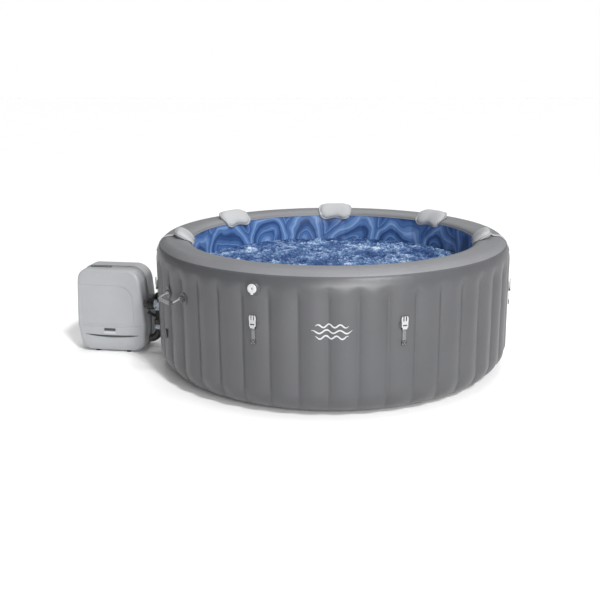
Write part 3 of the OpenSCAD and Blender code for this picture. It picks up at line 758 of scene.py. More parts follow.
def build_pad(phi, name):
    outline = pad_outline()
    rings = [i / 30 for i in range(1, 26)]
    rings += [0.855, 0.88, 0.895, 0.905, 0.915, 0.93, 0.95, 0.97, 0.985, 0.995, 1.0]
    count = len(outline)
    flat_points = []
    for face in (1, -1):
        for rho in rings:
            for x, s in outline:
                flat_points.append((*on_pad(x, s, rho), rho, face))
    verts = []
    for x, s, rho, face in flat_points:
        h = pad_height(rho, face)
        if face > 0 and rho < PAD_CREST:
            edge_pull = rho ** 3
            h += 0.0011 * edge_pull * ripple(x * 70, s * 70, 0, 1.0, 2.0)
            h -= 0.0022 * math.exp(-(x / 0.03) ** 2) * float(smoothstep(0.03, 0.15, s))
        verts.append(pad_point(phi, x, s, h))
    layer = len(rings) * count
    faces = grid_faces(len(rings), count, wrap_cols=True)
    faces += [tuple(layer + v for v in f)[::-1] for f in grid_faces(len(rings), count, wrap_cols=True)]
    faces.append(tuple(range(count))[::-1])
    faces.append(tuple(range(layer, layer + count)))
    last = (len(rings) - 1) * count
    faces += [(last + j, last + (j + 1) % count, layer + last + (j + 1) % count, layer + last + j)
              for j in range(count)]
    pad = mesh_object(name, verts, faces, PAD)
    recalculate(pad)
    return pad


def build_pad_trim(phi, index):
    """Cord piping darkened with painted shade, a row of stitches in the channel and the strap over the rim.
    """
    outline = pad_outline()

    def around(rho, h):
        return [pad_point(phi, *on_pad(x, s, rho), h) for x, s in outline]

    piping = sweep(f"headrest_piping_{index}", around(0.985, 0.0045), circle(0.0024, 8), PIPING_PAINTED_SHADE, closed=True)
    stitches = []
    path = around(0.908, 0.0036)
    for k in range(0, len(path), 2):
        a, b = path[k], path[(k + 1) % len(path)]
        stitches.append(sweep("stitch", [a, a.lerp(b, 0.5), b], circle(0.0007, 5), THREAD))
    thread = join(f"headrest_stitches_{index}", stitches)
    strap_path = [polar(phi, RIM_FLAT_OUT + (RIM_OUT[0] + 0.0030) * math.cos(math.radians(a)),
                        TUB_H - RIM_OUT[1] + (RIM_OUT[1] + 0.0030) * math.sin(math.radians(a)))
                  for a in range(22, 91, 4)]
    strap_path += [polar(phi, 0.992, TUB_H + 0.0035), polar(phi, 0.976, TUB_H + 0.006),
                   polar(phi, 0.964, TUB_H + 0.014)]
    strap = sweep(f"headrest_strap_{index}", strap_path, rounded_section(0.050, 0.0022, 0.001), PAD,
                  up=polar(phi, 1, 0))
    return [piping, thread, strap]


def build_headrests():
    for i, phi in enumerate(HEADREST_PHIS, start=1):
        pad = build_pad(phi, f"headrest_pad_{i}")
        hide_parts(f"headrest_{i}")
        for obj in [pad] + build_pad_trim(phi, i):
            settle(obj, f"headrest_{i}", "pad_pvc")


# ---------------------------------------------------------------- buckles on the wall

def weld_disc(name, matrix, r, material, thick=0.0016):
    """A round welded patch with a rolled ring near its edge."""
    profile = [(0.0005, thick), (r * 0.70, thick), (r * 0.76, thick + 0.0006), (r * 0.82, thick + 0.0006),
               (r * 0.87, thick), (r * 0.97, thick * 0.9), (r, thick * 0.4), (r, 0), (0.0005, 0)]
    return lathe(name, profile, material, matrix=matrix @ Matrix.Rotation(math.pi / 2, 4, "X"), segments=72)


BUCKLE_OUTLINE = [
    (-0.012, 0.002), (-0.018, 0.009), (-0.018, 0.034), (-0.0195, 0.046), (-0.0185, 0.058), (-0.013, 0.066),
    (-0.0095, 0.063), (-0.0105, 0.052), (-0.0095, 0.040), (-0.0055, 0.0375), (-0.0042, 0.041),
    (-0.0040, 0.061), (-0.0025, 0.0655), (0.0025, 0.0655), (0.0040, 0.061), (0.0042, 0.041),
    (0.0055, 0.0375), (0.0095, 0.040), (0.0105, 0.052), (0.0095, 0.063), (0.013, 0.066),
    (0.0185, 0.058), (0.0195, 0.046), (0.018, 0.034), (0.018, 0.009), (0.012, 0.002)
]


def build_clip(index, phi):
    bar_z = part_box("cover_clip_1")[0][2] + 0.0044
    at_bar = wall_frame(phi, TUB_R + 0.0085, bar_z)
    at_wall = wall_frame(phi, TUB_R + 0.0003, bar_z)
    buckle = slab("buckle", BUCKLE_OUTLINE, -0.0030, 0.0030, BUCKLE, 0.0011, at_bar)
    ridge = slab("ridge", [(-0.015, 0.0285), (0.015, 0.0285), (0.015, 0.0325), (-0.015, 0.0325)],
                 -0.0042, -0.0028, BUCKLE, 0.0006, at_bar)
    # The dark slot on the buckle's face is painted shade standing in for its opening.
    slot = slab("slot", [(-0.0115, 0.0135), (0.0115, 0.0135), (0.0125, 0.0175), (0.0115, 0.0215),
                         (-0.0115, 0.0215), (-0.0125, 0.0175)], -0.0034, -0.0028, DARK, 0.0003, at_bar)
    eye = sweep("eye", [Vector((x, 0, 0)) for x in (-0.0128, -0.006, 0.006, 0.0128)], circle(0.0042, 20),
                BUCKLE, matrix=at_bar)
    body = join(f"buckle_{index}", [buckle, ridge, slot, eye])
    settle(body, f"clip_{index}", "white_plastic", f"cover_clip_{index}")

    pieces = [weld_disc("patch", at_wall @ Matrix.Translation((0, 0, 0.020)), 0.030, PATCH)]
    webbing_path = [Vector((0, -0.0022, 0.022)), Vector((0, -0.0026, 0.004)), Vector((0, -0.0026, -0.010)),
                    Vector((0, -0.0030, -0.030)), Vector((0, -0.0024, -0.050)), Vector((0, -0.0026, -0.066))]
    pieces.append(sweep("tail", webbing_path, rounded_section(0.020, 0.0014, 0.0006), WEBBING, matrix=at_wall,
                        up=Vector((0, 1, 0))))
    square = [(-0.0135, -0.090), (0.0135, -0.090), (0.0135, -0.064), (-0.0135, -0.064)]
    pieces.append(slab("end", square, -0.0056, -0.0014, DARK_WEB, 0.0009, at_wall))
    stitch = [(-0.0105, -0.087), (0.0105, -0.087), (0.0105, -0.067), (-0.0105, -0.067), (-0.0105, -0.087),
              (0.0105, -0.067), (0.0105, -0.087), (-0.0105, -0.067)]
    for (x0, z0), (x1, z1) in zip(stitch, stitch[1:]):
        pieces.append(sweep("run", [Vector((x0, -0.0058, z0)), Vector(((x0 + x1) / 2, -0.006, (z0 + z1) / 2)),
                                    Vector((x1, -0.0058, z1))], circle(0.0006, 6), THREAD, matrix=at_wall))
    pieces.append(sweep("bar", [Vector((x, -0.0082, 0)) for x in (-0.0165, -0.006, 0.006, 0.0165)],
                        circle(0.0025, 16), BLACK, matrix=at_wall))
    for side in (-1, 1):
        cheek = [(side * 0.0155 - 0.0016, -0.0045), (side * 0.0155 + 0.0016, -0.0045),
                 (side * 0.0155 + 0.0016, 0.0045), (side * 0.0155 - 0.0016, 0.0045)]
        pieces.append(slab("cheek", cheek, -0.0112, -0.0020, BLACK, 0.0006, at_wall))
    pieces.append(slab("keeper", [(-0.0165, -0.0052), (0.0165, -0.0052), (0.0165, 0.0036), (-0.0165, 0.0036)],
                       -0.0040, -0.0018, BLACK, 0.0006, at_wall))
    strap = join(f"clip_strap_{index}", pieces)
    settle(strap, TUB, "webbing")
    return strap


def build_clips():
    straps = [build_clip(i, phi) for i, phi in enumerate(CLIP_PHIS, start=1)]
    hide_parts("clip_straps")


# ---------------------------------------------------------------- carrying handles

HANDLE_Z = 0.562
HANDLE_PIN_X = 0.079
TAB_PHI, TAB_Z = -63.3, 0.300


def build_handle(which, phi):
    pin = wall_frame(phi, TUB_R + 0.0085, HANDLE_Z)
    tilt = Matrix.Rotation(math.radians(20), 4, "X")
    half = [(0.0790, 0.000, 0.0), (0.0800, -0.012, 0.0), (0.0805, -0.028, 0.0), (0.0770, -0.045, 0.0),
            (0.0660, -0.0565, 0.0), (0.0450, -0.0605, 0.0), (0.0200, -0.0615, 0.0)]
    points = [(-x, y, z) for x, y, z in half] + [(x, y, z) for x, y, z in half[::-1]]

    def section(way):
        wide = 0.0125 + 0.0085 * float(smoothstep(0.10, 0.32, way) * smoothstep(0.90, 0.68, way))
        tall = 0.0085 + 0.0045 * float(smoothstep(0.08, 0.30, way) * smoothstep(0.92, 0.70, way))
        held = float(smoothstep(0.34, 0.38, way) * smoothstep(0.66, 0.62, way))
        rib = 0.0005 * math.sin(way * 2 * math.pi * 26) * held
        return [(a * (wide / 2 + rib), b * (tall / 2 + rib))
                for a, b in ((math.cos(q), math.sin(q)) for q in (2 * math.pi * k / 20 for k in range(20)))]
    route = spline([Vector(p) for p in points], per_span=12)
    grip = sweep("grip", route, section, GRIP, matrix=pin @ tilt)
    first, last = int(0.70 * len(route)), int(0.78 * len(route))
    sleeve = sweep("sleeve", route[first:last], rounded_section(0.0235, 0.0165, 0.006, steps=5), DARK,
                   matrix=pin @ tilt)
    eyes = [sleeve]
    for side in (-1, 1):
        profile = [(0.0042, -0.0045), (0.0078, -0.0045), (0.0083, -0.0038), (0.0083, 0.0038),
                   (0.0078, 0.0045), (0.0042, 0.0045)]
        place = pin @ tilt @ Matrix.Translation((side * HANDLE_PIN_X, 0, 0))
        place = place @ Matrix.Rotation(math.pi / 2, 4, "Y")
        eyes.append(lathe("eye", profile, GRIP, matrix=place, segments=40))
    handle = join(f"handle_{which}_grip", [grip] + eyes)
    settle(handle, f"handle_{which}", "grip_pvc", f"handle_grip_{which}")

    pieces = []
    for side in (-1, 1):
        at = wall_frame(phi + side * HANDLE_HALF, TUB_R + 0.0003, HANDLE_Z)
        pieces.append(weld_disc("patch", at, 0.036, PATCH, thick=0.0018))
        outline = rounded_section(0.013, 0.026, 0.004, steps=6)
        pieces.append(slab("lug", outline, -0.0165, -0.0005, PATCH, 0.0015, at))
        pin_path = [Vector((side * (0.085 + 0.003 + d), 0, 0)) for d in (-0.0098, -0.003, 0.003, 0.0085)]
        pieces.append(sweep("pin", pin_path, circle(0.0039, 20), DARK, matrix=pin))
        head = [(0.0005, 0.0), (0.0046, 0.0), (0.0050, -0.0006), (0.0050, -0.0014), (0.0005, -0.0018)]
        place = pin @ Matrix.Translation((side * 0.0772, 0, 0)) @ Matrix.Rotation(side * math.pi / 2, 4, "Y")
        pieces.append(lathe("head", head, DARK, matrix=place, segments=24))
    anchors = join(f"handle_{which}_anchors", pieces)
    settle(anchors, TUB, "patch_pvc")
    return anchors


def build_handles():
    anchors = [build_handle(which, phi) for which, phi in HANDLES.items()]
    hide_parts("weld_patches")
    # A dark stitched tab on the wall, left of and below the front handle.
    at = wall_frame(TAB_PHI, TUB_R + 0.0003, TAB_Z)
    tab = slab("dark_wall_tab", rounded_section(0.034, 0.052, 0.003, steps=3), -0.0030, -0.0004, DARK_WEB,
               0.0008, at)
    edge = [(-0.013, -0.0225), (0.013, -0.0225), (0.013, 0.0225), (-0.013, 0.0225), (-0.013, -0.0225)]
    runs = [sweep("run", [Vector((x0, -0.0031, z0)), Vector(((x0 + x1) / 2, -0.0032, (z0 + z1) / 2)),
                          Vector((x1, -0.0031, z1))], circle(0.0006, 6), THREAD, matrix=at)
            for (x0, z0), (x1, z1) in zip(edge, edge[1:])]
    tab = join("dark_wall_tab", [tab] + runs)
    settle(tab, TUB, "webbing")


# ---------------------------------------------------------------- valves and the printed mark

def turned(name, phi, r, z, profile, material, segments=72):
    """A lathe profile of (radius, outward distance) on the wall."""
    matrix = wall_frame(phi, r, z) @ Matrix.Rotation(math.pi / 2, 4, "X")
    return lathe(name, profile, material, matrix=matrix, segments=segments)


def build_valves():
    body = [(0.0145, -0.024), (0.0178, -0.024), (0.0178, -0.002), (0.0330, -0.0008), (0.0338, 0.0010),
            (0.0322, 0.0026), (0.0270, 0.0032), (0.0262, 0.0042), (0.0155, 0.0042), (0.0150, 0.0020)]
    flange = turned("inflation_valve_flange", VALVE_PHI, TUB_R, VALVE_Z, body, PATCH)
    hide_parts("inflation_valve_body")
    patch = turned("valve_patch", VALVE_PHI, TUB_R - 0.0012, VALVE_Z,
                   [(0.018, 0.0), (0.0405, -0.0008), (0.0412, 0.0004), (0.0400, 0.0012), (0.034, 0.0018),
                    (0.018, 0.0018)], PATCH)
    cap_profile = [(0.0005, 0.0040), (0.0030, 0.0042), (0.0046, 0.0052), (0.0055, 0.0078), (0.0070, 0.0088),
                   (0.0150, 0.0092), (0.0215, 0.0088), (0.0242, 0.0074), (0.0250, 0.0050), (0.0250, 0.0012),
                   (0.0242, 0.0002), (0.0005, 0.0002)]
    cap = turned("cap", VALVE_PHI, TUB_R + 0.0046, VALVE_Z, cap_profile, WHITE)
    tongue = slab("tongue", [(-0.006, -0.031), (0.006, -0.031), (0.0065, -0.022), (-0.0065, -0.022)],
                  -0.0085, -0.0010, WHITE, 0.0014, wall_frame(VALVE_PHI, TUB_R + 0.0046, VALVE_Z))
    # A dark disc at the bottom of the cap's central hollow: painted shade.
    dimple_shade = turned("dimple_shade", VALVE_PHI, TUB_R + 0.0046, VALVE_Z,
                    [(0.0004, 0.0038), (0.0034, 0.0038), (0.0034, 0.0046), (0.0004, 0.0046)], DARK)
    cap = join("inflation_cap", [cap, tongue, dimple_shade])
    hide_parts("inflation_valve_cap")
    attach(cap, "valve_cap")
    drain = turned("drain_flange", DRAIN_PHI, TUB_R, DRAIN_Z,
                   [(0.0122, -0.006), (0.0122, 0.0155), (0.0155, 0.0155), (0.0155, 0.0036), (0.0268, 0.0032),
                    (0.0280, 0.0016), (0.0280, 0.0002), (0.0160, 0.0002), (0.0158, -0.006)], PORT)
    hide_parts("drain_valve_body")
    nut = ribbed_nut("drain_cap_ribbed", 0.0162, 0.0218, 0.0175, 18, DARK, closed_top=True)
    nut.data.transform(wall_frame(DRAIN_PHI, TUB_R + 0.0042, DRAIN_Z) @ Matrix.Rotation(math.pi / 2, 4, "X"))
    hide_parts("drain_valve_cap")
    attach(nut, "drain_cap")
    for obj in (flange, patch, drain):
        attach(obj, TUB)


def wall_radius(phi, z):
    """Radius of the ribbed wall at a place on its straight stretch."""
    return TUB_R - GROOVE_DEPTH * float(groove_shape(np.array([phi]))[0])


def build_mark():
    """Three plain waves, printed on the front of the wall."""
    pieces = []
    centre_phi, centre_z = -0.3, 0.488

    def ribbon(points, width):
        path = []
        for x, z in points:
            phi = centre_phi + math.degrees(x / TUB_R)
            path.append((phi, z))
        verts = []
        for k, (phi, z) in enumerate(path):
            before, after = path[max(k - 1, 0)], path[min(k + 1, len(path) - 1)]
            dx = math.radians(after[0] - before[0]) * TUB_R
            dz = after[1] - before[1]
            size = math.hypot(dx, dz)
            taper = min(1.0, 6 * min(k, len(path) - 1 - k) / len(path) + 0.25)
            ox, oz = -dz / size * width / 2 * taper, dx / size * width / 2 * taper
            for s in (1, -1):
                side_phi = phi + math.degrees(s * ox / TUB_R)
                verts.append(polar(side_phi, wall_radius(side_phi, z) + 0.0008, z + s * oz))
        return mesh_object("ribbon", verts, grid_faces(len(path), 2), MARK)
    for row, (half, rise) in enumerate(((0.085, 0.030), (0.105, 0.0), (0.085, -0.030))):
        points = [(-half + 2 * half * k / 80, centre_z + rise + 0.008 * math.sin(6 * math.pi * k / 80 + row))
                  for k in range(81)]
        pieces.append(ribbon(points, 0.0075))
    mark = join("printed_waves", pieces)
    settle(mark, TUB, "white_plastic")


# ---------------------------------------------------------------- couplings and hoses

# The pump unit and its couplings are made on the tub's -X side, then turned round the tub's axis
PUMP_TURN = Matrix.Rotation(math.radians(-8), 4, "Z")
CASE_X = -1.420
CASE_SIDE_X = CASE_X + 0.233
PORT_YS = (-0.100, 0.055)
PORT_Z = 0.325
PORT_WALL_X = -1.084
RISER_X = -1.114
LOW_PORT_Z = 0.170
SEAL_X = -1.164


def beside_tub(*objects):
    for obj in objects:
        obj.data.transform(PUMP_TURN)
        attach(obj, TUB)


def ribbed_nut(name, bore, r, h, ribs, material, closed_top=False):
    """Union nut along +Z with rounded grip ribs and plain shoulders."""
    rows = [(bore, 0.0, 0), (r - 0.004, 0.0, 0), (r - 0.0026, 0.0010, 0), (r - 0.0026, h * 0.10, 0),
            (r - 0.0012, h * 0.13, 1), (r, h * 0.17, 1), (r, h * 0.80, 1), (r - 0.0014, h * 0.84, 1),
            (r - 0.0030, h * 0.87, 0), (r - 0.0030, h - 0.0012, 0), (r - 0.0042, h, 0)]
    rows.append((0.0004 if closed_top else bore, h, 0))
    if closed_top:
        rows += [(0.0004, h - 0.003, 0), (bore, h - 0.003, 0)]
    segments = ribs * 12
    verts = []
    for radius, z, ribbed in rows:
        for j in range(segments):
            a = 2 * math.pi * j / segments
            cut = max(0.0, math.cos(ribs * a)) ** 3 * 0.0028 * ribbed
            verts.append(((radius - cut) * math.cos(a), (radius - cut) * math.sin(a), z))
    obj = mesh_object(name, verts, grid_faces(len(rows), segments, wrap_cols=True, wrap_rows=True), material)
    recalculate(obj)
    return obj


def along_x(x, y, z):
    return Matrix.Translation((x, y, z)) @ Matrix.Rotation(math.pi / 2, 4, "Y")


def pipe(name, matrix, bore, r, h, material, collar=None):
    """A tube along +Z with softened ends, and a raised collar at (from, to, radius) if asked."""
    profile = [(bore, 0), (r - 0.0008, 0), (r, 0.0008)]
    if collar:
        low, high, big = collar
        profile += [(r, low), (big - 0.001, low), (big, low + 0.001), (big, high - 0.001),
                    (big - 0.001, high), (r, high)]
    profile += [(r, h - 0.0008), (r - 0.0008, h), (bore, h)]
    return lathe(name, profile, material, matrix=matrix, segments=64)


def build_couplings():
    for key, y in zip(("front", "rear"), PORT_YS):
        nut = ribbed_nut(f"union_nut_upper_{key}", 0.0241, 0.0368, 0.0458, 20, BLACK)
        nut.data.transform(PUMP_TURN @ along_x(CASE_SIDE_X + 0.0041, y, PORT_Z))
        settle(nut, f"upper_{key}_nut", "nut_plastic", f"coupling_upper_{key}")
    lower = ribbed_nut("union_nut_lower", 0.0241, 0.0288, 0.0348, 18, BLACK)
    lower.data.transform(PUMP_TURN @ Matrix.Translation((RISER_X, PORT_YS[0], LOW_PORT_Z + 0.0231)))
    settle(lower, "lower_nut", "nut_plastic", "coupling_lower")

    start = SEAL_X + 0.001
    run = PORT_WALL_X - start
    clear = [
        pipe("run_rear", along_x(start, PORT_YS[1], PORT_Z), 0.019, 0.0238, run, CLEAR,
             collar=(0.046, 0.058, 0.0300)),
        pipe("run_front", along_x(start, PORT_YS[0], PORT_Z), 0.019, 0.0238, run, CLEAR,
             collar=(0.028, 0.036, 0.0300)),
        pipe("drop", Matrix.Translation((RISER_X, PORT_YS[0], PORT_Z - 0.0358)), 0.016, 0.0208, 0.018, CLEAR,
             collar=(0.002, 0.010, 0.0245)),
        pipe("lower_run", Matrix.Translation((RISER_X, PORT_YS[0], LOW_PORT_Z - 0.006)), 0.016, 0.0236,
             0.0458, CLEAR, collar=(0.006, 0.019, 0.0290)),
        pipe("lower_side", along_x(RISER_X + 0.018, PORT_YS[0], LOW_PORT_Z + 0.008), 0.010, 0.0138,
             PORT_WALL_X - RISER_X - 0.018, CLEAR, collar=(0.003, 0.009, 0.0180)),
    ]
    fittings = join("clear_unions", clear)
    beside_tub(fittings)
    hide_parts("clear_fittings")

    def corrugated(radius, turns):
        def section(way):
            return circle(radius - 0.0009 * (1 + math.cos(2 * math.pi * turns * way)), 28)
        return section
    low, high = LOW_PORT_Z + 0.042, PORT_Z - 0.036
    upright = [Vector((RISER_X, PORT_YS[0], low + (high - low) * k / 60)) for k in range(61)]
    riser = sweep("upright", upright, corrugated(0.0205, 11), HOSE)
    branch_path = spline([(RISER_X - out, PORT_YS[0], low + rise) for out, rise in
                          ((0.016, 0.033), (0.032, 0.040), (0.050, 0.048), (0.072, 0.058))], per_span=14)
    branch = sweep("branch", branch_path, corrugated(0.0105, 8), HOSE)
    riser = join("riser_hose_ribbed", [riser, branch])
    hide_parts("riser_hose")
    bend = RISER_X - CASE_SIDE_X - 0.006
    centre = Vector((RISER_X - bend, PORT_YS[0], LOW_PORT_Z - 0.0063))
    arc = [centre + Vector((bend * math.cos(a), 0, -bend * math.sin(a)))
           for a in (math.radians(90 * k / 72) for k in range(73))]
    elbow = sweep("elbow_hose_ribbed", arc, corrugated(0.025, 9), HOSE, up=Vector((0, 1, 0)))
    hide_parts("elbow_hose")
    beside_tub(riser, elbow)


# ---------------------------------------------------------------- pump unit

CASE_FRONT = -0.149
CASE_BACK = CASE_FRONT + 0.260
BAND_FRONT = CASE_FRONT + 0.085
BAND_BACK = BAND_FRONT + 0.045
CASE_FOOT, CASE_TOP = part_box("pump_front_shell")[0][2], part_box("pump_front_shell")[1][2]
BAND_INSET = 0.005
FRONT_INSET = 0.004
CASE_CORNERS = [(-0.213, CASE_TOP, 0.070), (0.200, CASE_TOP, 0.100), (0.233, 0.190, 0.260),
                (0.214, CASE_FOOT, 0.085), (-0.205, CASE_FOOT, 0.065), (-0.233, 0.180, 0.260)]


def case_outline(inset, steps=16):
    """Front outline of the casing as (x from its centre, z) points, clockwise from the top left."""
    points = []
    count = len(CASE_CORNERS)
    for i, (x, z, r) in enumerate(CASE_CORNERS):
        p = Vector((x, z))
        u = (Vector(CASE_CORNERS[i - 1][:2]) - p).normalized()
        v = (Vector(CASE_CORNERS[(i + 1) % count][:2]) - p).normalized()
        half = math.acos(u.dot(v)) / 2
        inward = (u + v).normalized()
        r = max(r - inset, 0.001)
        centre = p + inward * (inset + r) / math.sin(half)
        start = math.atan2(-inward.y, -inward.x) + math.pi / 2 - half
        for k in range(steps + 1):
            a = start - (math.pi - 2 * half) * k / steps
            points.append((centre.x + r * math.cos(a), centre.y + r * math.sin(a)))
    return points


def row_grid(outline, rows, cols):
    """Grid points that fill a convex outline row by row, as arrays of x and z."""
    pts = np.array(outline)
    z_low, z_high = pts[:, 1].min(), pts[:, 1].max()
    t = np.linspace(0, 1, rows)
    zs = z_low + (z_high - z_low) * (0.5 - 0.5 * np.cos(math.pi * t)) * 0.35 + (z_high - z_low) * t * 0.65
    zs[0], zs[-1] = z_low + 1e-6, z_high - 1e-6
    xs = np.zeros((rows, cols))
    u = np.linspace(0, 1, cols)
    u = 0.25 * (0.5 - 0.5 * np.cos(math.pi * u)) + 0.75 * u
    n = len(pts)
    for i, z in enumerate(zs):
        hits = []
        for k in range(n):
            (x0, z0), (x1, z1) = pts[k], pts[(k + 1) % n]
            if (z0 - z) * (z1 - z) <= 0 and abs(z1 - z0) > 1e-12:
                hits.append(x0 + (x1 - x0) * (z - z0) / (z1 - z0))
        xs[i] = min(hits) + (max(hits) - min(hits)) * u
    return xs, np.repeat(zs[:, None], cols, axis=1)


def inside_distance(outline, xs, zs):
    """Distance from each point to the outline."""
    pts = np.array(outline)
    best = np.full(xs.shape, 1e9)
    for k in range(len(pts)):
        a, b = pts[k], pts[(k + 1) % len(pts)]
        size = max(float(((b - a) ** 2).sum()), 1e-16)
        t = np.clip(((xs - a[0]) * (b[0] - a[0]) + (zs - a[1]) * (b[1] - a[1])) / size, 0, 1)
        best = np.minimum(best, np.hypot(xs - a[0] - t * (b[0] - a[0]), zs - a[1] - t * (b[1] - a[1])))
    return best


SLOT_X, SLOT_HALF = -0.012, 0.038
SLOT_LOW, SLOT_HIGH = 0.1470, 0.1630
SMILE_Z, SMILE_SAG, SMILE_HALF = 0.1210, 0.0130, 0.185


def smile_line(x):
    """Height of the groove's middle line above the floor."""
    return SMILE_Z - SMILE_SAG * (1 - (x / SMILE_HALF) ** 2)


def front_relief(xs, zs, edge):
    """How far the front face stands back: fillet, sunk panel, ledge, slot, groove, skirt and brow."""
    fillet = 0.018
    d = np.clip(edge, 0, fillet)
    depth = fillet - np.sqrt(np.maximum(fillet ** 2 - (fillet - d) ** 2, 0))
    crown = 0.006 * (xs / 0.23) ** 2 + 0.004 * ((zs - 0.30) / 0.26) ** 2
    # Sunk panel with a round top right corner and a ledge along its foot
    corner = np.array((0.055, 0.350))
    reach = np.where((xs > corner[0]) & (zs > corner[1]), 0.100 - np.hypot(xs - corner[0], zs - corner[1]),
                     np.minimum(0.155 - xs, 0.450 - zs))
    panel = smoothstep(0.0, 0.005, np.minimum(reach, zs - 0.182)) * smoothstep(0.0, 0.03, xs + 0.222)
    ledge = smoothstep(0.172, 0.1765, zs) * smoothstep(0.187, 0.181, zs)
    ledge = ledge * smoothstep(0.195, 0.180, np.abs(xs))
    slot = smoothstep(SLOT_HALF + 0.0015, SLOT_HALF, np.abs(xs - SLOT_X))
    slot = slot * smoothstep(SLOT_LOW - 0.0015, SLOT_LOW, zs) * smoothstep(SLOT_HIGH + 0.0015, SLOT_HIGH, zs)
    # Curved groove, widest at its middle
    along = np.clip(xs / SMILE_HALF, -1, 1)
    sag = smile_line(along * SMILE_HALF)
    half = 0.0005 + 0.0105 * (1 - along ** 2) ** 1.1
    smile = smoothstep(1.0, 0.80, (zs - sag) / half) * smoothstep(-1.0, 0.2, (zs - sag) / half) \
        * smoothstep(0.186, 0.178, np.abs(xs))
    split = 0.0008 * np.exp(-((zs - 0.1535) / 0.0013) ** 2) * smoothstep(0.192, 0.200, np.abs(xs))
    skirt = 0.015 * smoothstep(0.085, 0.0, zs) ** 1.4
    brow = 0.016 * smoothstep(0.440, 0.560, zs)
    return (depth + crown + 0.0036 * panel - 0.0030 * ledge + 0.0085 * slot + 0.0180 * smile + split
            + skirt + brow)


def rear_relief(xs, zs, edge):
    """How far the rear face stands in: fillet, a sunk field and a shelf round the grille."""
    fillet = 0.030
    d = np.clip(edge, 0, fillet)
    depth = fillet - np.sqrt(np.maximum(fillet ** 2 - (fillet - d) ** 2, 0))
    field = smoothstep(0.0, 0.006, edge - 0.050)
    grille = smoothstep(0.0, 0.003, np.minimum(0.074 - np.abs(xs), 0.060 - np.abs(zs - 0.345)))
    return depth + 0.0016 * field - 0.0016 * grille


def case_shell(name, face_y, seam_y, relief, inset=0, rows=250, cols=220):
    """Half of the casing: a shaped face, side wall back to the seam and an inner lip."""
    outline = case_outline(inset)
    xs, zs = row_grid(outline, rows, cols)
    inwards = 1 if seam_y > face_y else -1
    depth = relief(xs, zs, inside_distance(outline, xs, zs))
    ys = face_y + inwards * depth
    verts = list(zip((xs + CASE_X).ravel(), ys.ravel(), zs.ravel()))
    faces = grid_faces(rows, cols)
    rim = [i * cols for i in range(rows)] + [(rows - 1) * cols + j for j in range(1, cols)]
    rim += [i * cols + cols - 1 for i in range(rows - 2, -1, -1)] + list(range(cols - 2, 0, -1))
    centre_z = 0.275
    loops = [(0.35, 0.0), (0.7, 0.0), (1.0, 0.0), (1.0, 0.003), (0.6, 0.003), (0.25, 0.003)]
    previous = rim
    for way, inset in loops:
        ring = []
        for index in rim:
            x, y, z = verts[index]
            dx, dz = CASE_X - x, centre_z - z
            size = math.hypot(dx, dz)
            ring.append(len(verts))
            verts.append((x + dx / size * inset, y + (seam_y - y) * way, z + dz / size * inset))
        faces += [(previous[k], previous[(k + 1) % len(rim)], ring[(k + 1) % len(rim)], ring[k])
                  for k in range(len(rim))]
        previous = ring
    shell = mesh_object(name, verts, faces, CASING)
    work = bmesh.new()
    work.from_mesh(shell.data)
    bmesh.ops.remove_doubles(work, verts=work.verts, dist=2e-5)
    bmesh.ops.recalc_face_normals(work, faces=work.faces)
    for edge in work.edges:
        if len(edge.link_faces) == 2 and edge.calc_face_angle(0) > math.radians(50):
            edge.smooth = False
    work.to_mesh(shell.data)
    work.free()
    return shell


def loft(name, outlines, material):
    """Rings of (x, z) points at successive Y, closed into a hollow band."""
    verts, size = [], len(outlines[0][1])
    for y, outline in outlines:
        verts += [(CASE_X + x, y, z) for x, z in outline]
    obj = mesh_object(name, verts, grid_faces(len(outlines), size, wrap_cols=True, wrap_rows=True), material)
    recalculate(obj)
    return obj


def build_casing():
    front = case_shell("pump_front_cover", CASE_FRONT, BAND_FRONT, front_relief, FRONT_INSET)
    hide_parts("pump_front_shell")
    rear = case_shell("pump_rear_cover", CASE_BACK, BAND_BACK, rear_relief)
    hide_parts("pump_rear_shell")
    inner = BAND_INSET + 0.003
    groove = BAND_INSET + 0.0016
    rings = [(BAND_FRONT - 0.005, BAND_INSET), (BAND_FRONT + 0.012, BAND_INSET), (BAND_FRONT + 0.016, groove),
             (BAND_BACK - 0.016, groove), (BAND_BACK - 0.012, BAND_INSET), (BAND_BACK + 0.005, BAND_INSET),
             (BAND_BACK + 0.005, inner), (BAND_FRONT - 0.005, inner)]
    band = loft("pump_band", [(y, case_outline(inset)) for y, inset in rings], BAND)
    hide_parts("pump_mid_frame")
    beside_tub(front, rear, band)


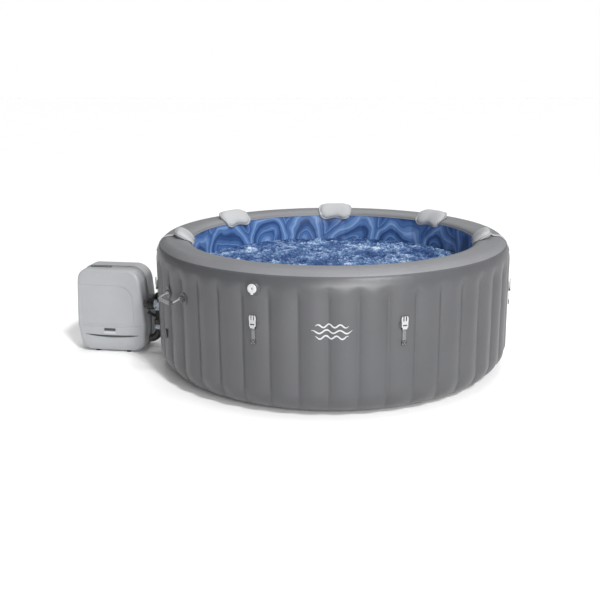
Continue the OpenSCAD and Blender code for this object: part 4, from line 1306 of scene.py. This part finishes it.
def build_pump_details():
    wide, deep = 0.135, BAND_BACK - BAND_FRONT - 0.002
    low = Vector((CASE_X - 0.150, BAND_FRONT + 0.001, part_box("control_panel")[0][2]))
    high = low + Vector((wide, deep, 0.013))
    centre = (low + high) / 2
    face_up = Matrix.Rotation(-math.pi / 2, 4, "X")
    panel = slab("panel", rounded_section(wide, deep, 0.012, steps=8), 0.0, -(high[2] - low[2]) + 0.0005,
                 GLOSS, 0.0025, Matrix.Translation((centre[0], centre[1], low[2])) @ face_up)
    top = high[2] - 0.0004
    keys = []
    for k in range(6):
        ring = [(0.0042, 0.0), (0.0056, 0.0), (0.0056, 0.0004), (0.0042, 0.0004)]
        place = Matrix.Translation((low[0] + 0.016 + 0.020 * k, centre[1] - 0.008, top))
        keys.append(lathe("key", ring, ICON, matrix=place, segments=28))
    window = slab("window", rounded_section(0.060, 0.013, 0.002, steps=4), 0, -0.0004, DARK, 0,
                  Matrix.Translation((centre[0], centre[1] + 0.010, top)) @ face_up)
    panel = join("touch_panel", [panel, window] + keys)
    beside_tub(panel)
    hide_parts("control_panel")

    feet = []
    for x in (CASE_X - 0.115, CASE_X + 0.095):
        for y in (CASE_FRONT + 0.045, CASE_BACK - 0.045):
            profile = [(0.0005, 0.0), (0.0125, 0.0), (0.0150, 0.0010), (0.0160, 0.0028), (0.0155, 0.0048),
                       (0.0005, 0.0048)]
            feet.append(lathe("foot", profile, RUBBER, matrix=Matrix.Translation((x, y, 0)), segments=40))
    feet = join("rubber_feet", feet)
    beside_tub(feet)
    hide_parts("pump_feet")

    # A dark sheet inside the grip slot: painted shade in the recess.
    left, right = SLOT_X - SLOT_HALF + 0.0005, SLOT_X + SLOT_HALF - 0.0005
    slot_shade = slab("grip_slot_painted_shade", [(left, SLOT_LOW + 0.0005), (right, SLOT_LOW + 0.0005),
                                        (right, SLOT_HIGH), (left, SLOT_HIGH)],
                     0, 0.0006, DARK, 0, Matrix.Translation((CASE_X, CASE_FRONT + 0.0068, 0)))
    lip = slab("grip_lip", [(-0.0500, 0.1290), (0.0260, 0.1290), (0.0265, 0.1440), (-0.0505, 0.1440)],
               0, 0.0050, WHITE, 0.0014, Matrix.Translation((CASE_X, CASE_FRONT - 0.0008, 0)))
    # Dark crescent in the curved groove, mostly in its upper part: painted shadow under the groove's upper
    # edge.
    half = 0.155
    arc = [-0.150 + 0.300 * k / 40 for k in range(41)]
    crescent = [(x, smile_line(x) + 0.0005 + 0.0082 * (1 - (x / half) ** 2)) for x in arc]
    crescent += [(x, smile_line(x) - 0.0015 - 0.0025 * (1 - (x / half) ** 2)) for x in arc[::-1]]
    groove_shadow = slab("groove_painted_shadow", crescent, 0, 0.0006, GROOVE_SHADE, 0,
                 Matrix.Translation((CASE_X, CASE_FRONT + 0.0075, 0)))
    for piece in (slot_shade, lip, groove_shadow):
        beside_tub(piece)


build_outer_wall()
build_rim()
build_seams()
build_liner()
build_water()
build_headrests()
build_clips()
build_handles()
build_valves()
build_mark()
build_couplings()
build_casing()
build_pump_details()
dress_kept_nodes()


# ---------------------------------------------------------------- camera, light and floor

CAMERA_FOCUS = 1.4083     # focal length over the sensor's width
CAMERA_SHIFT = (-0.055, -0.0083)
CAMERA_PLACE = Vector((0, -5.157, 1.747))
CAMERA_AIM = Vector((0, 0, 0.4))
SENSOR = 36.0
AMBIENT = 0.62


def build_camera():
    camera = bpy.data.cameras.new("camera")
    camera.sensor_width = SENSOR
    camera.lens = CAMERA_FOCUS * SENSOR
    camera.shift_x, camera.shift_y = CAMERA_SHIFT
    obj = bpy.data.objects.new("camera", camera)
    obj.location = CAMERA_PLACE
    obj.rotation_euler = (CAMERA_AIM - CAMERA_PLACE).to_track_quat("-Z", "Y").to_euler()
    bpy.context.scene.collection.objects.link(obj)
    bpy.context.scene.camera = obj


def area_light(name, place, aim, wide, tall, power):
    light = bpy.data.lights.new(name, "AREA")
    light.shape = "ELLIPSE"
    light.size, light.size_y, light.energy = wide, tall, power
    obj = bpy.data.objects.new(name, light)
    obj.location = place
    obj.rotation_euler = (Vector(aim) - Vector(place)).to_track_quat("-Z", "Y").to_euler()
    bpy.context.scene.collection.objects.link(obj)


def sun_light(name, towards, power, softness):
    light = bpy.data.lights.new(name, "SUN")
    light.energy, light.angle = power, math.radians(softness)
    obj = bpy.data.objects.new(name, light)
    obj.rotation_euler = Vector(towards).to_track_quat("Z", "Y").to_euler()
    bpy.context.scene.collection.objects.link(obj)


def build_studio():
    sun_light("key", (0.38, -0.62, 0.72), 2.0, 7)
    sun_light("overhead", (0.05, 0.1, 1.0), 0.75, 25)
    area_light("front_fill", (0.95, -4.7, 1.75), (0.1, 0, 0.5), 3.2, 1.2, 130)
    area_light("back_top", (0.6, 3.6, 4.2), (0, 0.4, 0.6), 2.6, 2.6, 40)
    world = bpy.data.worlds.new("studio")
    world.use_nodes = True
    tree = world.node_tree
    ambient = tree.nodes["Background"]
    ambient.inputs["Strength"].default_value = AMBIENT
    sky = tree.nodes.new("ShaderNodeTexCoord")
    split = tree.nodes.new("ShaderNodeSeparateXYZ")
    side = tree.nodes.new("ShaderNodeMapRange")
    side.inputs["From Min"].default_value, side.inputs["From Max"].default_value = -0.9, 0.9
    side.inputs["To Min"].default_value, side.inputs["To Max"].default_value = 0.22, 0.90
    tree.links.new(sky.outputs["Generated"], split.inputs[0])
    tree.links.new(split.outputs["X"], side.inputs["Value"])
    tree.links.new(side.outputs["Result"], ambient.inputs["Color"])
    backdrop = tree.nodes.new("ShaderNodeBackground")
    backdrop.inputs["Color"].default_value = (1, 1, 1, 1)
    backdrop.inputs["Strength"].default_value = 1.0
    seen = tree.nodes.new("ShaderNodeLightPath")
    choose = tree.nodes.new("ShaderNodeMixShader")
    tree.links.new(seen.outputs["Is Camera Ray"], choose.inputs[0])
    tree.links.new(ambient.outputs[0], choose.inputs[1])
    tree.links.new(backdrop.outputs[0], choose.inputs[2])
    tree.links.new(choose.outputs[0], tree.nodes["World Output"].inputs["Surface"])
    bpy.context.scene.world = world
    n = Nodes("studio_floor")
    n.link(n.ramp(n.noise(1.2, 2), [(0.3, (0.975, 0.975, 0.975)), (0.7, (0.99, 0.99, 0.99))]), "Base Color")
    n.put(Roughness=0.95, Specular_IOR_Level=0.05)
    half = 60
    floor = mesh_object("floor", [(-half, -half, 0), (half, -half, 0), (half, half, 0), (-half, half, 0)],
                        [(0, 1, 2, 3)], n.material, smooth=False)
    bpy.context.scene.view_settings.view_transform = "Standard"


build_camera()
build_studio()
